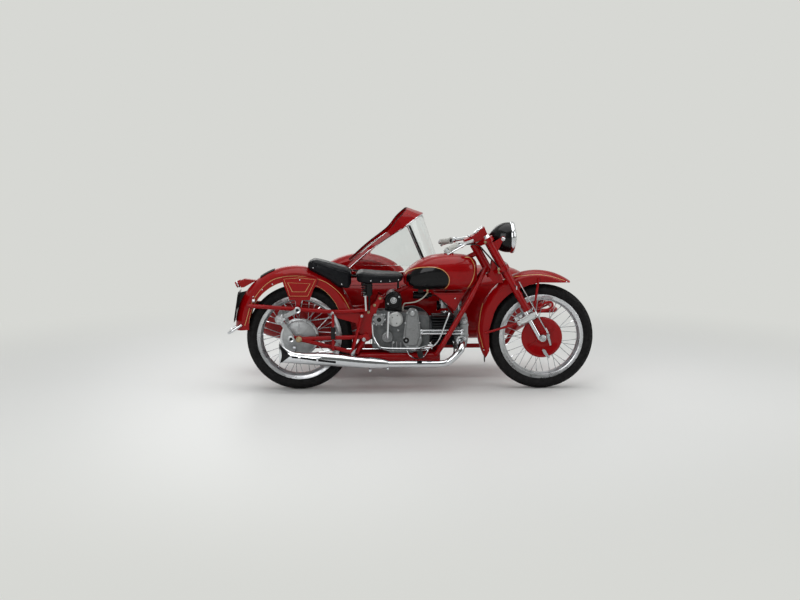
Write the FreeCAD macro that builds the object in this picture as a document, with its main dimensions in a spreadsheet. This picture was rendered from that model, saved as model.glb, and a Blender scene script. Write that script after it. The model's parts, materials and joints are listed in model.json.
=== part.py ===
"""A 1950s horizontal-single motorcycle with a passenger sidecar, in millimetres.

+X points forward, +Y to the left (the sidecar's side) and +Z up. The wheels stand on
z = 0, and the origin is on the ground under the middle of the whole outline.
"""
import FreeCAD, Part
import math
import os
import Sketcher
from FreeCAD import Placement, Rotation, Vector

# Driving dimensions, each with the name of its cell in the sheet
SIZES = {
    # Wheels: 3.50-19 tyres on wire wheels, the same on all three axles
    "wheelbase": 1500,
    "tyre_radius": 326.5,
    "tyre_half_width": 45,
    "tyre_crown_drop": 30,
    "rim_radius": 257,
    "rim_half_width": 35,
    "rim_flange": 13,
    "rim_wall": 4,
    "rim_well": 16,
    "hub_radius": 34,
    "hub_half_length": 46,
    "hub_flange_radius": 62,
    "hub_flange_wall": 6,
    "drum_radius": 118,
    "drum_width": 32,
    "spoke_radius": 2,
    "spoke_count": 36,
    "spoke_lean": 26,
    "axle_radius": 10,
    "axle_nut_radius": 16,
    "axle_nut_width": 14,
    "running_gap": 0.05,
    "side_gap": 5,
    # Steering: the fork stands in line with the front axle, the head behind it
    "rake": 29.3,
    "head_setback": 85,
    "head_radius": 27,
    "head_low": 515,
    "head_high": 680,
    "fork_leg_y": 92,
    "fork_leg_radius": 22,
    "fork_leg_low": 196,
    "fork_leg_high": 707,
    "fork_collar_radius": 25,
    "fork_collar_width": 16,
    "fork_collar_at": 300,
    "stanchion_radius": 14,
    "stanchion_set_back": 16,
    "fork_lug_radius": 22,
    "fork_lug_width": 34,
    "fork_shoe_front": 46,
    "fork_shoe_rear": 94,
    "fork_shoe_at": 152,
    "fork_shoe_depth": 30,
    "fork_shoe_width": 30,
    "yoke_depth": 26,
    "lower_yoke_at": 496,
    "upper_yoke_at": 694,
    "yoke_margin": 12,
    "steerer_radius": 14,
    "yoke_plate_y": 44,
    "yoke_plate_wall": 6,
    "yoke_plate_rear": 104,
    "yoke_plate_low": 410,
    "yoke_plate_high": 568,
    # Handlebar
    "bar_radius": 11,
    "bar_half_width": 342,
    "bar_rise": 740,
    "bar_sweep": 179,
    "bar_end_drop": 42,
    "bar_shoulder_y": 150,
    "bar_bend": 70,
    "grip_radius": 17,
    "grip_length": 118,
    "lever_radius": 5,
    "lever_knob_radius": 8,
    "lever_drop": 26,
    "lever_tip_ahead": 15,
    "lever_tip_out": 10,
    "lever_tip_drop": 20,
    # Headlamp and instrument box
    "lamp_setback": 194,
    "lamp_above_axle": 615.5,
    "lamp_radius": 92,
    "lamp_length": 132,
    "lamp_nose_radius": 16,
    "lamp_rim_depth": 20,
    "lamp_rim_overlap": 5,
    "lamp_glass_bulge": 16,
    "lamp_wall": 3,
    "ear_thickness": 4,
    "ear_high": 666,
    "ear_low": 563,
    "ear_width": 26,
    "panel_length": 145,
    "panel_height": 106,
    "panel_half_width": 55,
    # Front mudguard
    "front_guard_setback": 35,
    "front_guard_rise": 50,
    "front_guard_radius": 364,
    "front_guard_half_width": 67,
    "front_guard_skirt": 90,
    "front_guard_start": 54,
    "front_guard_end": 213,
    "guard_wall": 2,
    "guard_stay_radius": 7,
    # Front brake
    "brake_plate_radius": 126,
    "brake_plate_wall": 6,
    "brake_plate_dish": 8,
    # Rear mudguard: a rounder arc than the tyre's
    "rear_guard_setback": 22,
    "rear_guard_rise": 73.5,
    "rear_guard_radius": 371,
    "rear_guard_half_width": 80,
    "rear_guard_skirt": 87,
    "rear_guard_start": 14,
    "rear_guard_end": 184,
    # Frame
    "tube_radius": 15.5,
    "rail_radius": 13,
    "down_tube_y": 128,
    "down_tube_foot_x": 90,
    "down_tube_foot_z": 221,
    "rail_y": 93,
    "rail_behind": 310,
    "rail_rear_z": 532,
    "rail_knee_x": -540,
    "rail_knee_z": 492,
    "rail_front_x": -330,
    "rail_front_z": 500,
    "gusset_wall": 5,
    "gusset_top_x": -248,
    "gusset_top_z": 586,
    "gusset_low_x": -298,
    "gusset_low_z": 392,
    "top_tube_rear_x": -246,
    "top_tube_rear_z": 560,
    "spring_box_front_x": 118,
    "spring_box_rear_x": -398,
    "spring_box_low": 176,
    "spring_box_high": 236,
    "spring_box_half_width": 98,
    "spring_box_round": 26,
    # Swinging arm and dampers
    "arm_pivot_x": -337,
    "arm_pivot_z": 338,
    "arm_y": 100,
    "arm_radius": 13,
    "arm_low_x": -398,
    "arm_low_z": 236,
    "arm_bush_radius": 21,
    "damper_y": 128,
    "damper_wall": 8,
    "damper_half_width": 13,
    "damper_top_behind": 6,
    "damper_top_z": 508,
    "damper_knee_behind": 116,
    "damper_knee_z": 452,
    "damper_low_behind": 42,
    "damper_low_z": 344,
    "damper_disc_radius": 36,
    "damper_disc_width": 34,
    # Tubes that hang from the rails outside the swinging arm
    "hanger_y": 125,
    "hanger_radius": 9,
    "hanger_lug_radius": 12,
    "hanger_low": 257,
    "brace_top_x": -364,
    "brace_top_z": 472,
    "brace_low_x": -425,
    "brace_low_z": 243,
    # Engine
    "engine_half_width": 84,
    "crank_x": -54,
    "crank_z": 372,
    "case_round": 22,
    "gearbox_rear_x": -300,
    "gearbox_front_x": -215,
    "gearbox_high_z": 498,
    "gearbox_low_z": 262,
    "timing_cover_wall": 30,
    "timing_cover_half_width": 58,
    "timing_cover_high": 514,
    "timing_cover_low": 262,
    "cylinder_start_x": 52,
    "cylinder_end_x": 205,
    "cylinder_radius": 62,
    "fin_radius": 94,
    "fin_wall": 3,
    "fin_count": 13,
    "head_end_x": 292,
    "head_fin_half_height": 122,
    "head_fin_half_width": 96,
    "head_fin_count": 7,
    "pushrod_radius": 6,
    "pushrod_y": 104,
    "dynamo_x": -169,
    "dynamo_z": 562,
    "dynamo_radius": 52,
    "dynamo_half_length": 78,
    "round_cover_x": -156,
    "round_cover_z": 446,
    "round_cover_radius": 44,
    "clutch_x": -207,
    "clutch_z": 336,
    "clutch_radius": 32,
    "selector_x": -262,
    "selector_z": 442,
    "selector_radius": 40,
    "cover_wall": 22,
    "flywheel_radius": 132,
    "flywheel_width": 34,
    "flywheel_boss_radius": 26,
    "flywheel_gap": 12,
    "carb_x": 118,
    "carb_z": 540,
    "carb_radius": 24,
    "carb_height": 70,
    "kick_radius": 7,
    "kick_top_z": 500,
    "kick_x": -200,
    "kick_y": 148,
    "chain_y": 62,
    "chain_half_height": 6,
    "chain_half_width": 5,
    "drive_sprocket_x": -262,
    "drive_sprocket_z": 440,
    "drive_sprocket_radius": 38,
    "wheel_sprocket_radius": 84,
    "footrest_y": 150,
    "footrest_reach": 96,
    "footrest_radius": 15,
    "footrest_x": -10,
    "footrest_z": 262,
    # Exhaust
    "exhaust_y": 160,
    "exhaust_radius": 21,
    "exhaust_run": 112,
    "silencer_front_x": -200,
    "silencer_rear_x": -790,
    "silencer_radius": 40,
    "silencer_z": 206,
    "tail_tip_x": -868,
    "tail_tip_high": 322,
    "tail_tip_low": 190,
    "tail_tip_half_width": 12,
    # Fuel tank
    "tank_rear_x": -106,
    "tank_setback": 404,
    "tank_high": 842,
    "tank_low": 628,
    "tank_half_width": 150,
    "tank_tunnel_half_width": 26,
    "tank_cap_radius": 30,
    "tank_cap_height": 22,
    "tank_cap_setback": 575,
    # Boxes
    "box_half_width": 45,
    "box_y": 66,
    "side_box_depth": 22,
    "front_box_rear_x": 79,
    "front_box_front_x": 265,
    "front_box_tip_x": 210,
    "front_box_high": 605,
    "front_box_low": 494,
    "rear_box_behind": 103,
    "rear_box_length": 219,
    "rear_box_high": 700,
    "rear_box_low": 566,
    "rear_box_taper": 48,
    # Seats
    "saddle_rear_x": -402,
    "saddle_front_x": -108,
    "saddle_high": 738,
    "saddle_low": 668,
    "saddle_half_width": 150,
    "saddle_spring_x": -318,
    "saddle_spring_foot_z": 600,
    "saddle_spring_radius": 20,
    "soft_gap": 0.3,
    "pillion_half_width": 100,
    "pillion_ahead": 320,
    "pillion_length": 260,
    "pillion_thickness": 70,
    "pillion_rear_z": 772,
    "pillion_high": 816,
    "pillion_front_z": 746,
    "pillion_low": 630,
    # Lamp, plate and loop at the tail
    "tail_lamp_radius": 19,
    "tail_lamp_half_width": 25,
    "tail_lamp_length": 106,
    "tail_lamp_height": 53,
    "tail_lamp_behind": 365,
    "tail_lamp_low": 636,
    "plate_high": 616,
    "plate_low": 430,
    "plate_half_width": 95,
    "plate_wall": 3,
    "plate_top_behind": 366,
    "plate_low_behind": 395,
    "loop_behind": 432,
    "loop_radius": 9,
    "loop_z": 360,
    # Sidecar
    "sidecar_y": 612,
    "sidecar_half_width": 310,
    "sidecar_tail_x": -1075,
    "sidecar_nose_x": 838,
    "sidecar_cowl_z": 712,
    "sidecar_floor_z": 232,
    "sidecar_wall": 12,
    "cockpit_rear_x": -560,
    "cockpit_front_x": 150,
    "cockpit_half_width": 232,
    "seat_rear_x": -590,
    "seat_back_depth": 110,
    "seat_length": 460,
    "seat_cushion_high": 430,
    "seat_back_high": 650,
    "sidecar_wheel_x": -365,
    "sidecar_wheel_y": 1022,
    "sidecar_guard_radius": 440,
    "sidecar_guard_half_width": 78,
    "sidecar_guard_skirt": 110,
    "sidecar_guard_start": 22,
    "sidecar_guard_end": 152,
    "screen_half_width": 212,
    "screen_top_front_x": 44,
    "screen_top_z": 1096,
    "screen_base_x": 172,
    "screen_arm_rear_x": -444,
    "screen_arm_rear_z": 712,
    "screen_glass_wall": 5,
    "chassis_radius": 20,
    "chassis_z": 212,
    "chassis_near_y": 357,
    "chassis_far_y": 867,
    "chassis_rear_x": -720,
    "chassis_bend_x": 560,
    "bumper_rear_x": 700,
    "bumper_radius": 14,
    "bumper_front_x": 905,
    "bumper_z": 440,
    "cross_front_x": 60,
    "upright_y": 955,
    "upright_wall": 16,
    "strut_radius": 13,
    "strut_front_foot_x": 250,
    "strut_rear_x": -470,
    "strut_rear_foot_x": -560,
}

document = FreeCAD.newDocument("sidecar_motorcycle")
sheet = document.addObject("Spreadsheet::Sheet", "Sizes")
for row, (alias, value) in enumerate(SIZES.items(), start=1):
    sheet.set(f"A{row}", alias)
    sheet.set(f"B{row}", str(value))
    sheet.setAlias(f"B{row}", alias)
document.recompute()


class Length(float):
    """A number that remembers the sheet formula that gives it."""

    def __new__(cls, value, formula):
        made = super().__new__(cls, value)
        made.formula = formula
        return made

    def __add__(self, other):
        return Length(float(self) + float(other), f"({self.formula} + {formula_of(other)})")

    def __radd__(self, other):
        return Length(float(other) + float(self), f"({formula_of(other)} + {self.formula})")

    def __sub__(self, other):
        return Length(float(self) - float(other), f"({self.formula} - {formula_of(other)})")

    def __rsub__(self, other):
        return Length(float(other) - float(self), f"({formula_of(other)} - {self.formula})")

    def __mul__(self, other):
        return Length(float(self) * float(other), f"({self.formula} * {formula_of(other)})")

    def __rmul__(self, other):
        return self * other

    def __truediv__(self, other):
        return Length(float(self) / float(other), f"({self.formula} / {formula_of(other)})")

    def __neg__(self):
        return Length(-float(self), f"(0 - {self.formula})")


def formula_of(number):
    """Return the sheet formula of a number, or the number itself as text."""
    return getattr(number, "formula", repr(float(number)))


class SheetReader:
    """Gives each named cell as a Length."""

    def __getattr__(self, alias):
        return Length(float(sheet.get(alias)), f"Sizes.{alias}")


s = SheetReader()

# Places that several sub-parts share
front_axle_x = s.wheelbase / 2
rear_axle_x = -(s.wheelbase / 2)
axle_z = s.tyre_radius
front_guard_x = front_axle_x - s.front_guard_setback
front_guard_z = axle_z + s.front_guard_rise
rear_guard_x = rear_axle_x - s.rear_guard_setback
rear_guard_z = axle_z + s.rear_guard_rise
lamp_x = front_axle_x - s.lamp_setback
lamp_z = axle_z + s.lamp_above_axle
loop_x = rear_axle_x - s.loop_behind
middle_x = (front_axle_x + s.tyre_radius + loop_x - s.loop_radius) / 2
side_far_y = s.sidecar_wheel_y + s.sidecar_guard_half_width
near_y = -s.bar_half_width - s.lever_tip_out - s.lever_knob_radius
middle_y = (side_far_y + near_y) / 2
rake = math.radians(s.rake)
sub_parts = []


# Helpers for the parametric document

def place(part, x=0.0, y=0.0, z=0.0, rotation=None):
    """Stand a sub-part at a place given from the ground below the wheelbase's middle."""
    at = Vector(float(x) - middle_x, float(y) - middle_y, float(z))
    part.Placement = Placement(at, rotation or Rotation())
    for axis, length in (("x", x - middle_x), ("y", y - middle_y), ("z", z)):
        part.setExpression(f"Placement.Base.{axis}", formula_of(length))
    return part


def keep(part):
    """List a finished sub-part for the export."""
    sub_parts.append(part)
    return part


def feature(label, shape):
    """Make a sub-part whose shape is worked out with the shape functions."""
    part = document.addObject("Part::Feature", label)
    part.Shape = shape
    return keep(place(part))


def new_body(label):
    """Make an empty body."""
    return document.addObject("PartDesign::Body", label)


def origin_plane(body, role):
    """Return one of a body's own origin planes."""
    return next(plane for plane in body.Origin.OriginFeatures if plane.Role == role)


def add_sketch(body, role, outline):
    """Draw a closed outline of (x, y) points; (x, y, x, y) is an arc through the first point."""
    sketch = body.newObject("Sketcher::SketchObject", body.Name + "_outline")
    sketch.AttachmentSupport = [(origin_plane(body, role), "")]
    sketch.MapMode = "FlatFace"
    ends = [Vector(float(point[-2]), float(point[-1]), 0) for point in outline]
    count = len(outline)
    for index in range(count):
        target = outline[(index + 1) % count]
        start, end = ends[index], ends[(index + 1) % count]
        if len(target) == 4:
            through = Vector(float(target[0]), float(target[1]), 0)
            sketch.addGeometry(Part.Arc(start, through, end), False)
        else:
            sketch.addGeometry(Part.LineSegment(start, end), False)
    for index in range(count):
        follower = (index + 1) % count
        own_end = end_vertex(sketch, index, ends[follower])
        next_start = end_vertex(sketch, follower, ends[follower])
        sketch.addConstraint(Sketcher.Constraint("Coincident", index, own_end, follower, next_start))
    for index, point in enumerate(outline):
        vertex = end_vertex(sketch, index, ends[index])
        for kind, length, axis in (("DistanceX", point[-2], -2), ("DistanceY", point[-1], -1)):
            if float(length) == 0:
                sketch.addConstraint(Sketcher.Constraint("PointOnObject", index, vertex, axis))
                continue
            datum = Sketcher.Constraint(kind, -1, 1, index, vertex, float(length))
            number = sketch.addConstraint(datum)
            sketch.setExpression(f"Constraints[{number}]", formula_of(length))
    return sketch


def end_vertex(sketch, index, point):
    """Say whether an edge starts (1) or ends (2) at a point."""
    start = sketch.getPoint(index, 1)
    end = sketch.getPoint(index, 2)
    return 1 if start.distanceToPoint(point) <= end.distanceToPoint(point) else 2


def turned(label, outline, across_y=True, degrees=360.0):
    """Turn an outline of (radius, y) points about Y, or of (x, radius) points about X."""
    body = new_body(label)
    sketch = add_sketch(body, "XY_Plane", outline)
    turn = body.newObject("PartDesign::Revolution", label + "_turn")
    turn.Profile = sketch
    turn.ReferenceAxis = (sketch, ["V_Axis" if across_y else "H_Axis"])
    turn.Angle = degrees
    return body


def combined(label, kind, base, tools):
    """Cut, fuse or intersect document objects and keep the result as a sub-part."""
    if kind == "Part::Cut" and len(tools) > 1:
        tool = document.addObject("Part::MultiFuse", label + "_tools")
        tool.Shapes = tools
    else:
        tool = tools[0]
    result = document.addObject(kind, label)
    if kind == "Part::MultiFuse":
        result.Shapes = [base] + tools
    else:
        result.Base = base
        result.Tool = tool
    return keep(result)


# Helpers for shapes

edge_share = 0.9
section_corners = 16


def bar(start, end, radius):
    """Return a round bar between two points."""
    run = Vector(*end) - Vector(*start)
    return Part.makeCylinder(float(radius), run.Length, Vector(*start), run)


def disc(x, y, z, radius, width, axis=Vector(0, 1, 0)):
    """Return a disc centred on a point, square to an axis."""
    half = Vector(axis).multiply(float(width) / 2)
    return Part.makeCylinder(float(radius), float(width), Vector(x, y, z) - half, axis)


def rounded_path(points, bend):
    """Return a wire of straight runs joined by arcs of the bend's radius."""
    corners = [Vector(*point) for point in points]
    edges = []
    start = corners[0]
    for before, corner, after in zip(corners, corners[1:], corners[2:]):
        inward = (before - corner).normalize()
        outward = (after - corner).normalize()
        half_angle = inward.getAngle(outward) / 2
        if half_angle > math.pi / 2 - 1e-6:
            continue
        setback = float(bend) / math.tan(half_angle)
        first = corner + inward * setback
        last = corner + outward * setback
        bisector = (inward + outward).normalize()
        centre = corner + bisector * (float(bend) / math.sin(half_angle))
        middle = centre - bisector * float(bend)
        edges.append(Part.LineSegment(start, first).toShape())
        edges.append(Part.Arc(first, middle, last).toShape())
        start = last
    edges.append(Part.LineSegment(start, corners[-1]).toShape())
    return Part.Wire(edges)


def tube(points, radius, bend):
    """Return a round rod bent along a path."""
    path = rounded_path(points, bend)
    first = Vector(*points[0])
    heading = (Vector(*points[1]) - first).normalize()
    section = Part.Wire(Part.makeCircle(float(radius), first, heading))
    return path.makePipeShell([section], True, False)


def prism(outline, y_start, y_end):
    """Return an outline of (x, z) points pulled along Y."""
    corners = [Vector(float(x), float(y_start), float(z)) for x, z in outline]
    face = Part.Face(Part.makePolygon(corners + corners[:1]))
    return face.extrude(Vector(0, float(y_end) - float(y_start), 0))


def rounded_prism(outline, y_start, y_end, radius):
    """Return a prism whose edges along Y are rounded."""
    block = prism(outline, y_start, y_end)
    long_edges = [edge for edge in block.Edges if edge.BoundBox.YLength > edge_share * block.BoundBox.YLength]
    return block.makeFillet(float(radius), long_edges)


def fused(shapes):
    """Return one solid, or a compound of those that don't touch."""
    whole = shapes[0].multiFuse(shapes[1:]) if len(shapes) > 1 else shapes[0]
    return whole.removeSplitter()


def mirrored_pair(shape):
    """Return a shape and its mirror image on the bike's other side."""
    return [shape, shape.mirror(Vector(0, 0, 0), Vector(0, 1, 0))]


def fork_point(ahead, side, up):
    """Return the place of a point given from the front axle along the fork."""
    x = front_axle_x + ahead * math.cos(rake) - up * math.sin(rake)
    z = axle_z + ahead * math.sin(rake) + up * math.cos(rake)
    return (float(x), float(side), float(z))


def in_fork(shape):
    """Stand a shape that was made upright at the origin along the fork."""
    lean = Rotation(Vector(0, 1, 0), -float(s.rake))
    shape.Placement = Placement(Vector(front_axle_x, 0, axle_z), lean).multiply(shape.Placement)
    return shape


def hull(stations, squareness):
    """Loft a solid through superellipse sections given as (x, y, half_width, low, high)."""
    rings = []
    for x, y, half_width, low, high in stations:
        points = []
        for index in range(section_corners):
            turn = 2 * math.pi * index / section_corners
            across = math.copysign(abs(math.cos(turn)) ** (2 / squareness), math.cos(turn))
            upward = math.copysign(abs(math.sin(turn)) ** (2 / squareness), math.sin(turn))
            height = (low + high) / 2 + (high - low) / 2 * upward
            points.append(Vector(float(x), y + half_width * across, float(height)))
        ring = Part.BSplineCurve()
        ring.interpolate(points, PeriodicFlag=True)
        rings.append(Part.Wire(ring.toShape()))
    return Part.makeLoft(rings, True, False)


# Wheels

def tyre(label, axle_x, axle_y):
    """Make a plain tyre whose beads sit on the rim's flanges."""
    bead = s.rim_radius - s.rim_flange
    bead_y = s.rim_half_width - s.rim_wall
    shoulder = s.tyre_radius - s.tyre_crown_drop
    outline = [
        (bead, -bead_y),
        (s.rim_radius, -bead_y),
        (s.rim_radius + s.rim_flange, -s.tyre_half_width, shoulder, -s.tyre_half_width),
        (s.tyre_radius, 0, shoulder, s.tyre_half_width),
        (s.rim_radius + s.rim_flange, s.tyre_half_width, s.rim_radius, bead_y),
        (bead, bead_y),
    ]
    return keep(place(turned(label, outline), axle_x, axle_y, axle_z))


def wire_wheel(label, axle_x, axle_y, drum_side):
    """Make a rim, crossed spokes, a flanged hub and, where it has one, a brake drum."""
    base = s.rim_radius - s.rim_flange
    inner_y = s.rim_half_width - s.rim_wall
    well = base - s.rim_well
    well_y = s.rim_half_width / 2
    rim_outline = [
        (s.rim_radius, -s.rim_half_width),
        (s.rim_radius, -inner_y),
        (base, -inner_y),
        (base, inner_y),
        (s.rim_radius, inner_y),
        (s.rim_radius, s.rim_half_width),
        (base - s.rim_wall, s.rim_half_width),
        (well, well_y),
        (well, -well_y),
        (base - s.rim_wall, -s.rim_half_width),
    ]
    rim = place(turned(label + "_rim", rim_outline), axle_x, axle_y, axle_z)
    bore = s.axle_radius + s.running_gap
    flange_y = s.hub_half_length - s.hub_flange_wall
    hub_outline = [
        (bore, -s.hub_half_length),
        (s.hub_flange_radius, -s.hub_half_length),
        (s.hub_flange_radius, -flange_y),
        (s.hub_radius, -flange_y),
        (s.hub_radius, flange_y),
        (s.hub_flange_radius, flange_y),
        (s.hub_flange_radius, s.hub_half_length),
        (bore, s.hub_half_length),
    ]
    if drum_side:
        drum_inner = s.hub_half_length - s.drum_width
        hub_outline = [
            (bore, -s.hub_half_length),
            (s.drum_radius, -s.hub_half_length),
            (s.drum_radius, -drum_inner),
            (s.hub_radius, -drum_inner),
            (s.hub_radius, flange_y),
            (s.hub_flange_radius, flange_y),
            (s.hub_flange_radius, s.hub_half_length),
            (bore, s.hub_half_length),
        ]
    hub = place(turned(label + "_hub", hub_outline), axle_x, axle_y, axle_z)
    if drum_side > 0:
        lean = Rotation(Vector(0, 0, 1), 180)
        hub.Placement = Placement(hub.Placement.Base, lean)
    wires = document.addObject("Part::Feature", label + "_wires")
    wires.Shape = Part.makeCompound(spokes(drum_side))
    place(wires, axle_x, axle_y, axle_z)
    document.recompute()
    return combined(label, "Part::MultiFuse", rim, [hub, wires])


def spokes(drum_side):
    """Return the crossed spokes between both flanges and the rim's well."""
    wires = []
    count = round(float(s.spoke_count))
    rim_end = s.rim_radius - s.rim_flange - s.rim_well / 2
    for index in range(count):
        side = -1 if index % 2 else 1
        on_drum = drum_side and side == drum_side
        root = (s.drum_radius if on_drum else s.hub_flange_radius) - s.hub_flange_wall
        root_y = side * (s.hub_half_length - s.hub_flange_wall / 2)
        if on_drum:
            root_y = side * (s.hub_half_length - s.drum_width + s.hub_flange_wall / 2)
        lean = s.spoke_lean if index % 4 < 2 else -s.spoke_lean
        rim_turn = math.radians(360 * (index + 0.5) / count)
        hub_turn = rim_turn + math.radians(lean if not on_drum else lean / 2)
        start = (root * math.cos(hub_turn), root_y, root * math.sin(hub_turn))
        end = (rim_end * math.cos(rim_turn), side * s.rim_half_width / 8, rim_end * math.sin(rim_turn))
        wires.append(bar(start, end, s.spoke_radius))
    return wires


tyre("front_tyre", front_axle_x, 0)
wire_wheel("front_wheel", front_axle_x, 0, -1)
tyre("rear_tyre", rear_axle_x, 0)
wire_wheel("rear_wheel", rear_axle_x, 0, 1)
tyre("sidecar_tyre", s.sidecar_wheel_x, s.sidecar_wheel_y)
wire_wheel("sidecar_wheel", s.sidecar_wheel_x, s.sidecar_wheel_y, 1)


# Front fork, yokes and handlebar

def upright_bar(ahead, side, low, high, radius):
    """Return a bar that runs along the fork."""
    return bar(fork_point(ahead, side, low), fork_point(ahead, side, high), radius)


def fork_legs():
    """Return both upper legs with their collars."""
    collar = s.fork_collar_width
    leg = fused([
        upright_bar(0, -s.fork_leg_y, s.fork_leg_low, s.fork_leg_high, s.fork_leg_radius),
        upright_bar(0, -s.fork_leg_y, s.fork_collar_at, s.fork_collar_at + collar, s.fork_collar_radius),
        upright_bar(0, -s.fork_leg_y, s.fork_leg_low, s.fork_leg_low + collar, s.fork_collar_radius),
    ])
    return Part.makeCompound(mirrored_pair(leg))


def fork_sliders():
    """Return the lower legs with their shoes and lugs, joined by the front axle."""
    half = s.fork_shoe_width / 2
    shoe = Part.makeBox(
        s.fork_shoe_front + s.fork_shoe_rear, s.fork_shoe_width, s.fork_shoe_depth,
        Vector(-s.fork_shoe_rear, -s.fork_leg_y - half, s.fork_shoe_at - s.fork_shoe_depth / 2))
    shoe = shoe.makeFillet(float(half * shoe_round_share), upright_edges(shoe))
    stanchion = upright_bar(-s.stanchion_set_back, -s.fork_leg_y, 0, s.fork_leg_low, s.stanchion_radius)
    lug = disc(front_axle_x, -s.fork_leg_y, axle_z, s.fork_lug_radius, s.fork_lug_width)
    leg = fused([in_fork(shoe), stanchion, lug])
    reach = s.fork_leg_y + s.fork_lug_width / 2 + s.axle_nut_width
    nut_y = reach - s.axle_nut_width / 2
    axle = disc(front_axle_x, 0, axle_z, s.axle_radius, 2 * reach)
    nuts = mirrored_pair(disc(front_axle_x, nut_y, axle_z, s.axle_nut_radius, s.axle_nut_width))
    return fused(mirrored_pair(leg) + [axle] + nuts)


def upright_edges(block):
    """Return a block's edges that run along Z."""
    return [edge for edge in block.Edges if edge.BoundBox.ZLength > edge_share * block.BoundBox.ZLength]


def yoke(up):
    """Return one yoke plate round both legs and the steering axis."""
    margin = s.fork_leg_radius + s.yoke_margin
    low = up - s.yoke_depth / 2
    rear = -s.head_setback
    corners = [
        (margin, -s.fork_leg_y), (margin, s.fork_leg_y), (0, s.fork_leg_y + margin),
        (rear, s.head_radius), (rear, -s.head_radius), (0, -s.fork_leg_y - margin),
    ]
    points = [Vector(float(x), float(y), float(low)) for x, y in corners]
    web = Part.Face(Part.makePolygon(points + points[:1])).extrude(Vector(0, 0, s.yoke_depth))
    bosses = [Part.makeCylinder(float(s.head_radius), float(s.yoke_depth), Vector(rear, 0, low))]
    for side in (-s.fork_leg_y, s.fork_leg_y):
        bosses.append(Part.makeCylinder(float(margin), float(s.yoke_depth), Vector(0, side, low)))
    return in_fork(fused([web] + bosses))


def yoke_plate():
    """Return the near one of the deep pressed plates that brace the lower yoke."""
    depth = s.yoke_plate_high - s.yoke_plate_low
    outline = []
    for rear_share, height_share in yoke_plate_shares:
        ahead = -s.yoke_plate_rear * rear_share
        x, _, z = fork_point(ahead, 0, s.yoke_plate_low + depth * height_share)
        outline.append((x, z))
    return prism(outline, -s.yoke_plate_y, -s.yoke_plate_y - s.yoke_plate_wall)


def fork_yokes():
    """Return both yokes with the steerer and the handlebar's stem between them."""
    steerer = upright_bar(-s.head_setback, 0, s.lower_yoke_at, s.bar_rise, s.steerer_radius)
    plates = mirrored_pair(yoke_plate())
    yokes = fused([yoke(s.lower_yoke_at), yoke(s.upper_yoke_at), steerer] + plates)
    return yokes.cut(fork_legs()).cut(handlebar()).cut(lamp_room(s.side_gap))


def bar_middle():
    """Return the handlebar's middle, on the steerer's top."""
    return fork_point(-s.head_setback, 0, s.bar_rise)


def bar_points():
    """Return the handlebar's route from end to end."""
    x, _, z = bar_middle()
    end_x, end_z = x - s.bar_sweep, z - s.bar_end_drop
    return [
        (end_x, -s.bar_half_width, end_z), (x, -s.bar_shoulder_y, z),
        (x, s.bar_shoulder_y, z), (end_x, s.bar_half_width, end_z),
    ]


def handlebar():
    """Return the bent bar."""
    return tube(bar_points(), s.bar_radius, s.bar_bend)


def bar_end_direction():
    """Return the direction from the near end of the bar towards its shoulder."""
    end, shoulder = (Vector(*point) for point in bar_points()[:2])
    return (shoulder - end).normalize()


def grips():
    """Return both rubber grips round the bar's ends."""
    end = Vector(*bar_points()[0])
    along = bar_end_direction()
    sleeve = Part.makeCylinder(float(s.grip_radius), float(s.grip_length), end, along)
    core = Part.makeCylinder(float(s.bar_radius), float(s.grip_length), end, along)
    return Part.makeCompound(mirrored_pair(sleeve.cut(core)))


def levers():
    """Return the brake and clutch levers with their clamps on the bar."""
    end = Vector(*bar_points()[0])
    along = bar_end_direction()
    ahead = Vector(0, 0, 1).cross(along).normalize()
    if ahead.x < 0:
        ahead = -ahead
    clamp_at = end + along * float(s.grip_length + s.lever_radius * 3)
    clamp = Part.makeCylinder(float(s.grip_radius), float(s.lever_radius * 4), clamp_at, along)
    pivot = clamp_at + along * float(s.lever_radius * 2) + ahead * float(s.lever_drop)
    arm = bar(clamp_at + along * float(s.lever_radius * 2), pivot, s.lever_radius)
    tip = end + Vector(s.lever_tip_ahead, -s.lever_tip_out, -s.lever_tip_drop)
    blade = bar(pivot, tip, s.lever_radius)
    knob = Part.makeSphere(float(s.lever_knob_radius), tip)
    lever = fused([clamp, arm, blade, knob])
    return Part.makeCompound(mirrored_pair(lever.cut(handlebar())))


shoe_round_share = 0.8
yoke_plate_shares = [(0.32, 1.0), (1.0, 0.485), (0.92, 0.24), (0.43, 0.0), (0.28, 0.48)]


# Headlamp, its brackets and the instrument box

def lamp_room(gap, with_rim=True):
    """Return the room that the headlamp takes, grown by a gap, with or without its rim."""
    bulge = Vector(-s.lamp_length * lamp_bulge_shares[0], 0, s.lamp_radius * lamp_bulge_shares[1] + gap)
    nose = Vector(-s.lamp_length - gap, 0, s.lamp_nose_radius + gap)
    mouth = Vector(0, 0, s.lamp_radius + gap)
    if with_rim:
        mouth = Vector(s.lamp_rim_depth, 0, s.lamp_radius + s.lamp_rim_overlap + gap)
    arc = Part.Arc(nose, bulge, mouth).toShape()
    foot = Vector(mouth.x, 0, 0)
    back = Vector(nose.x, 0, 0)
    edges = [arc]
    for start, end in ((mouth, foot), (foot, back), (back, nose)):
        edges.append(Part.LineSegment(start, end).toShape())
    room = Part.Face(Part.Wire(edges)).revolve(Vector(0, 0, 0), Vector(1, 0, 0), 360)
    room.translate(Vector(lamp_x, 0, lamp_z))
    return room


def lamp_outline(radius, length, inset):
    """Return the shell's outline from its nose to its mouth."""
    bulge_x = -length * lamp_bulge_shares[0]
    bulge_radius = radius * lamp_bulge_shares[1]
    nose = -length + inset
    return [(nose, 0), (nose, s.lamp_nose_radius - inset), (bulge_x + inset / 2, bulge_radius, 0, radius)]


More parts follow.
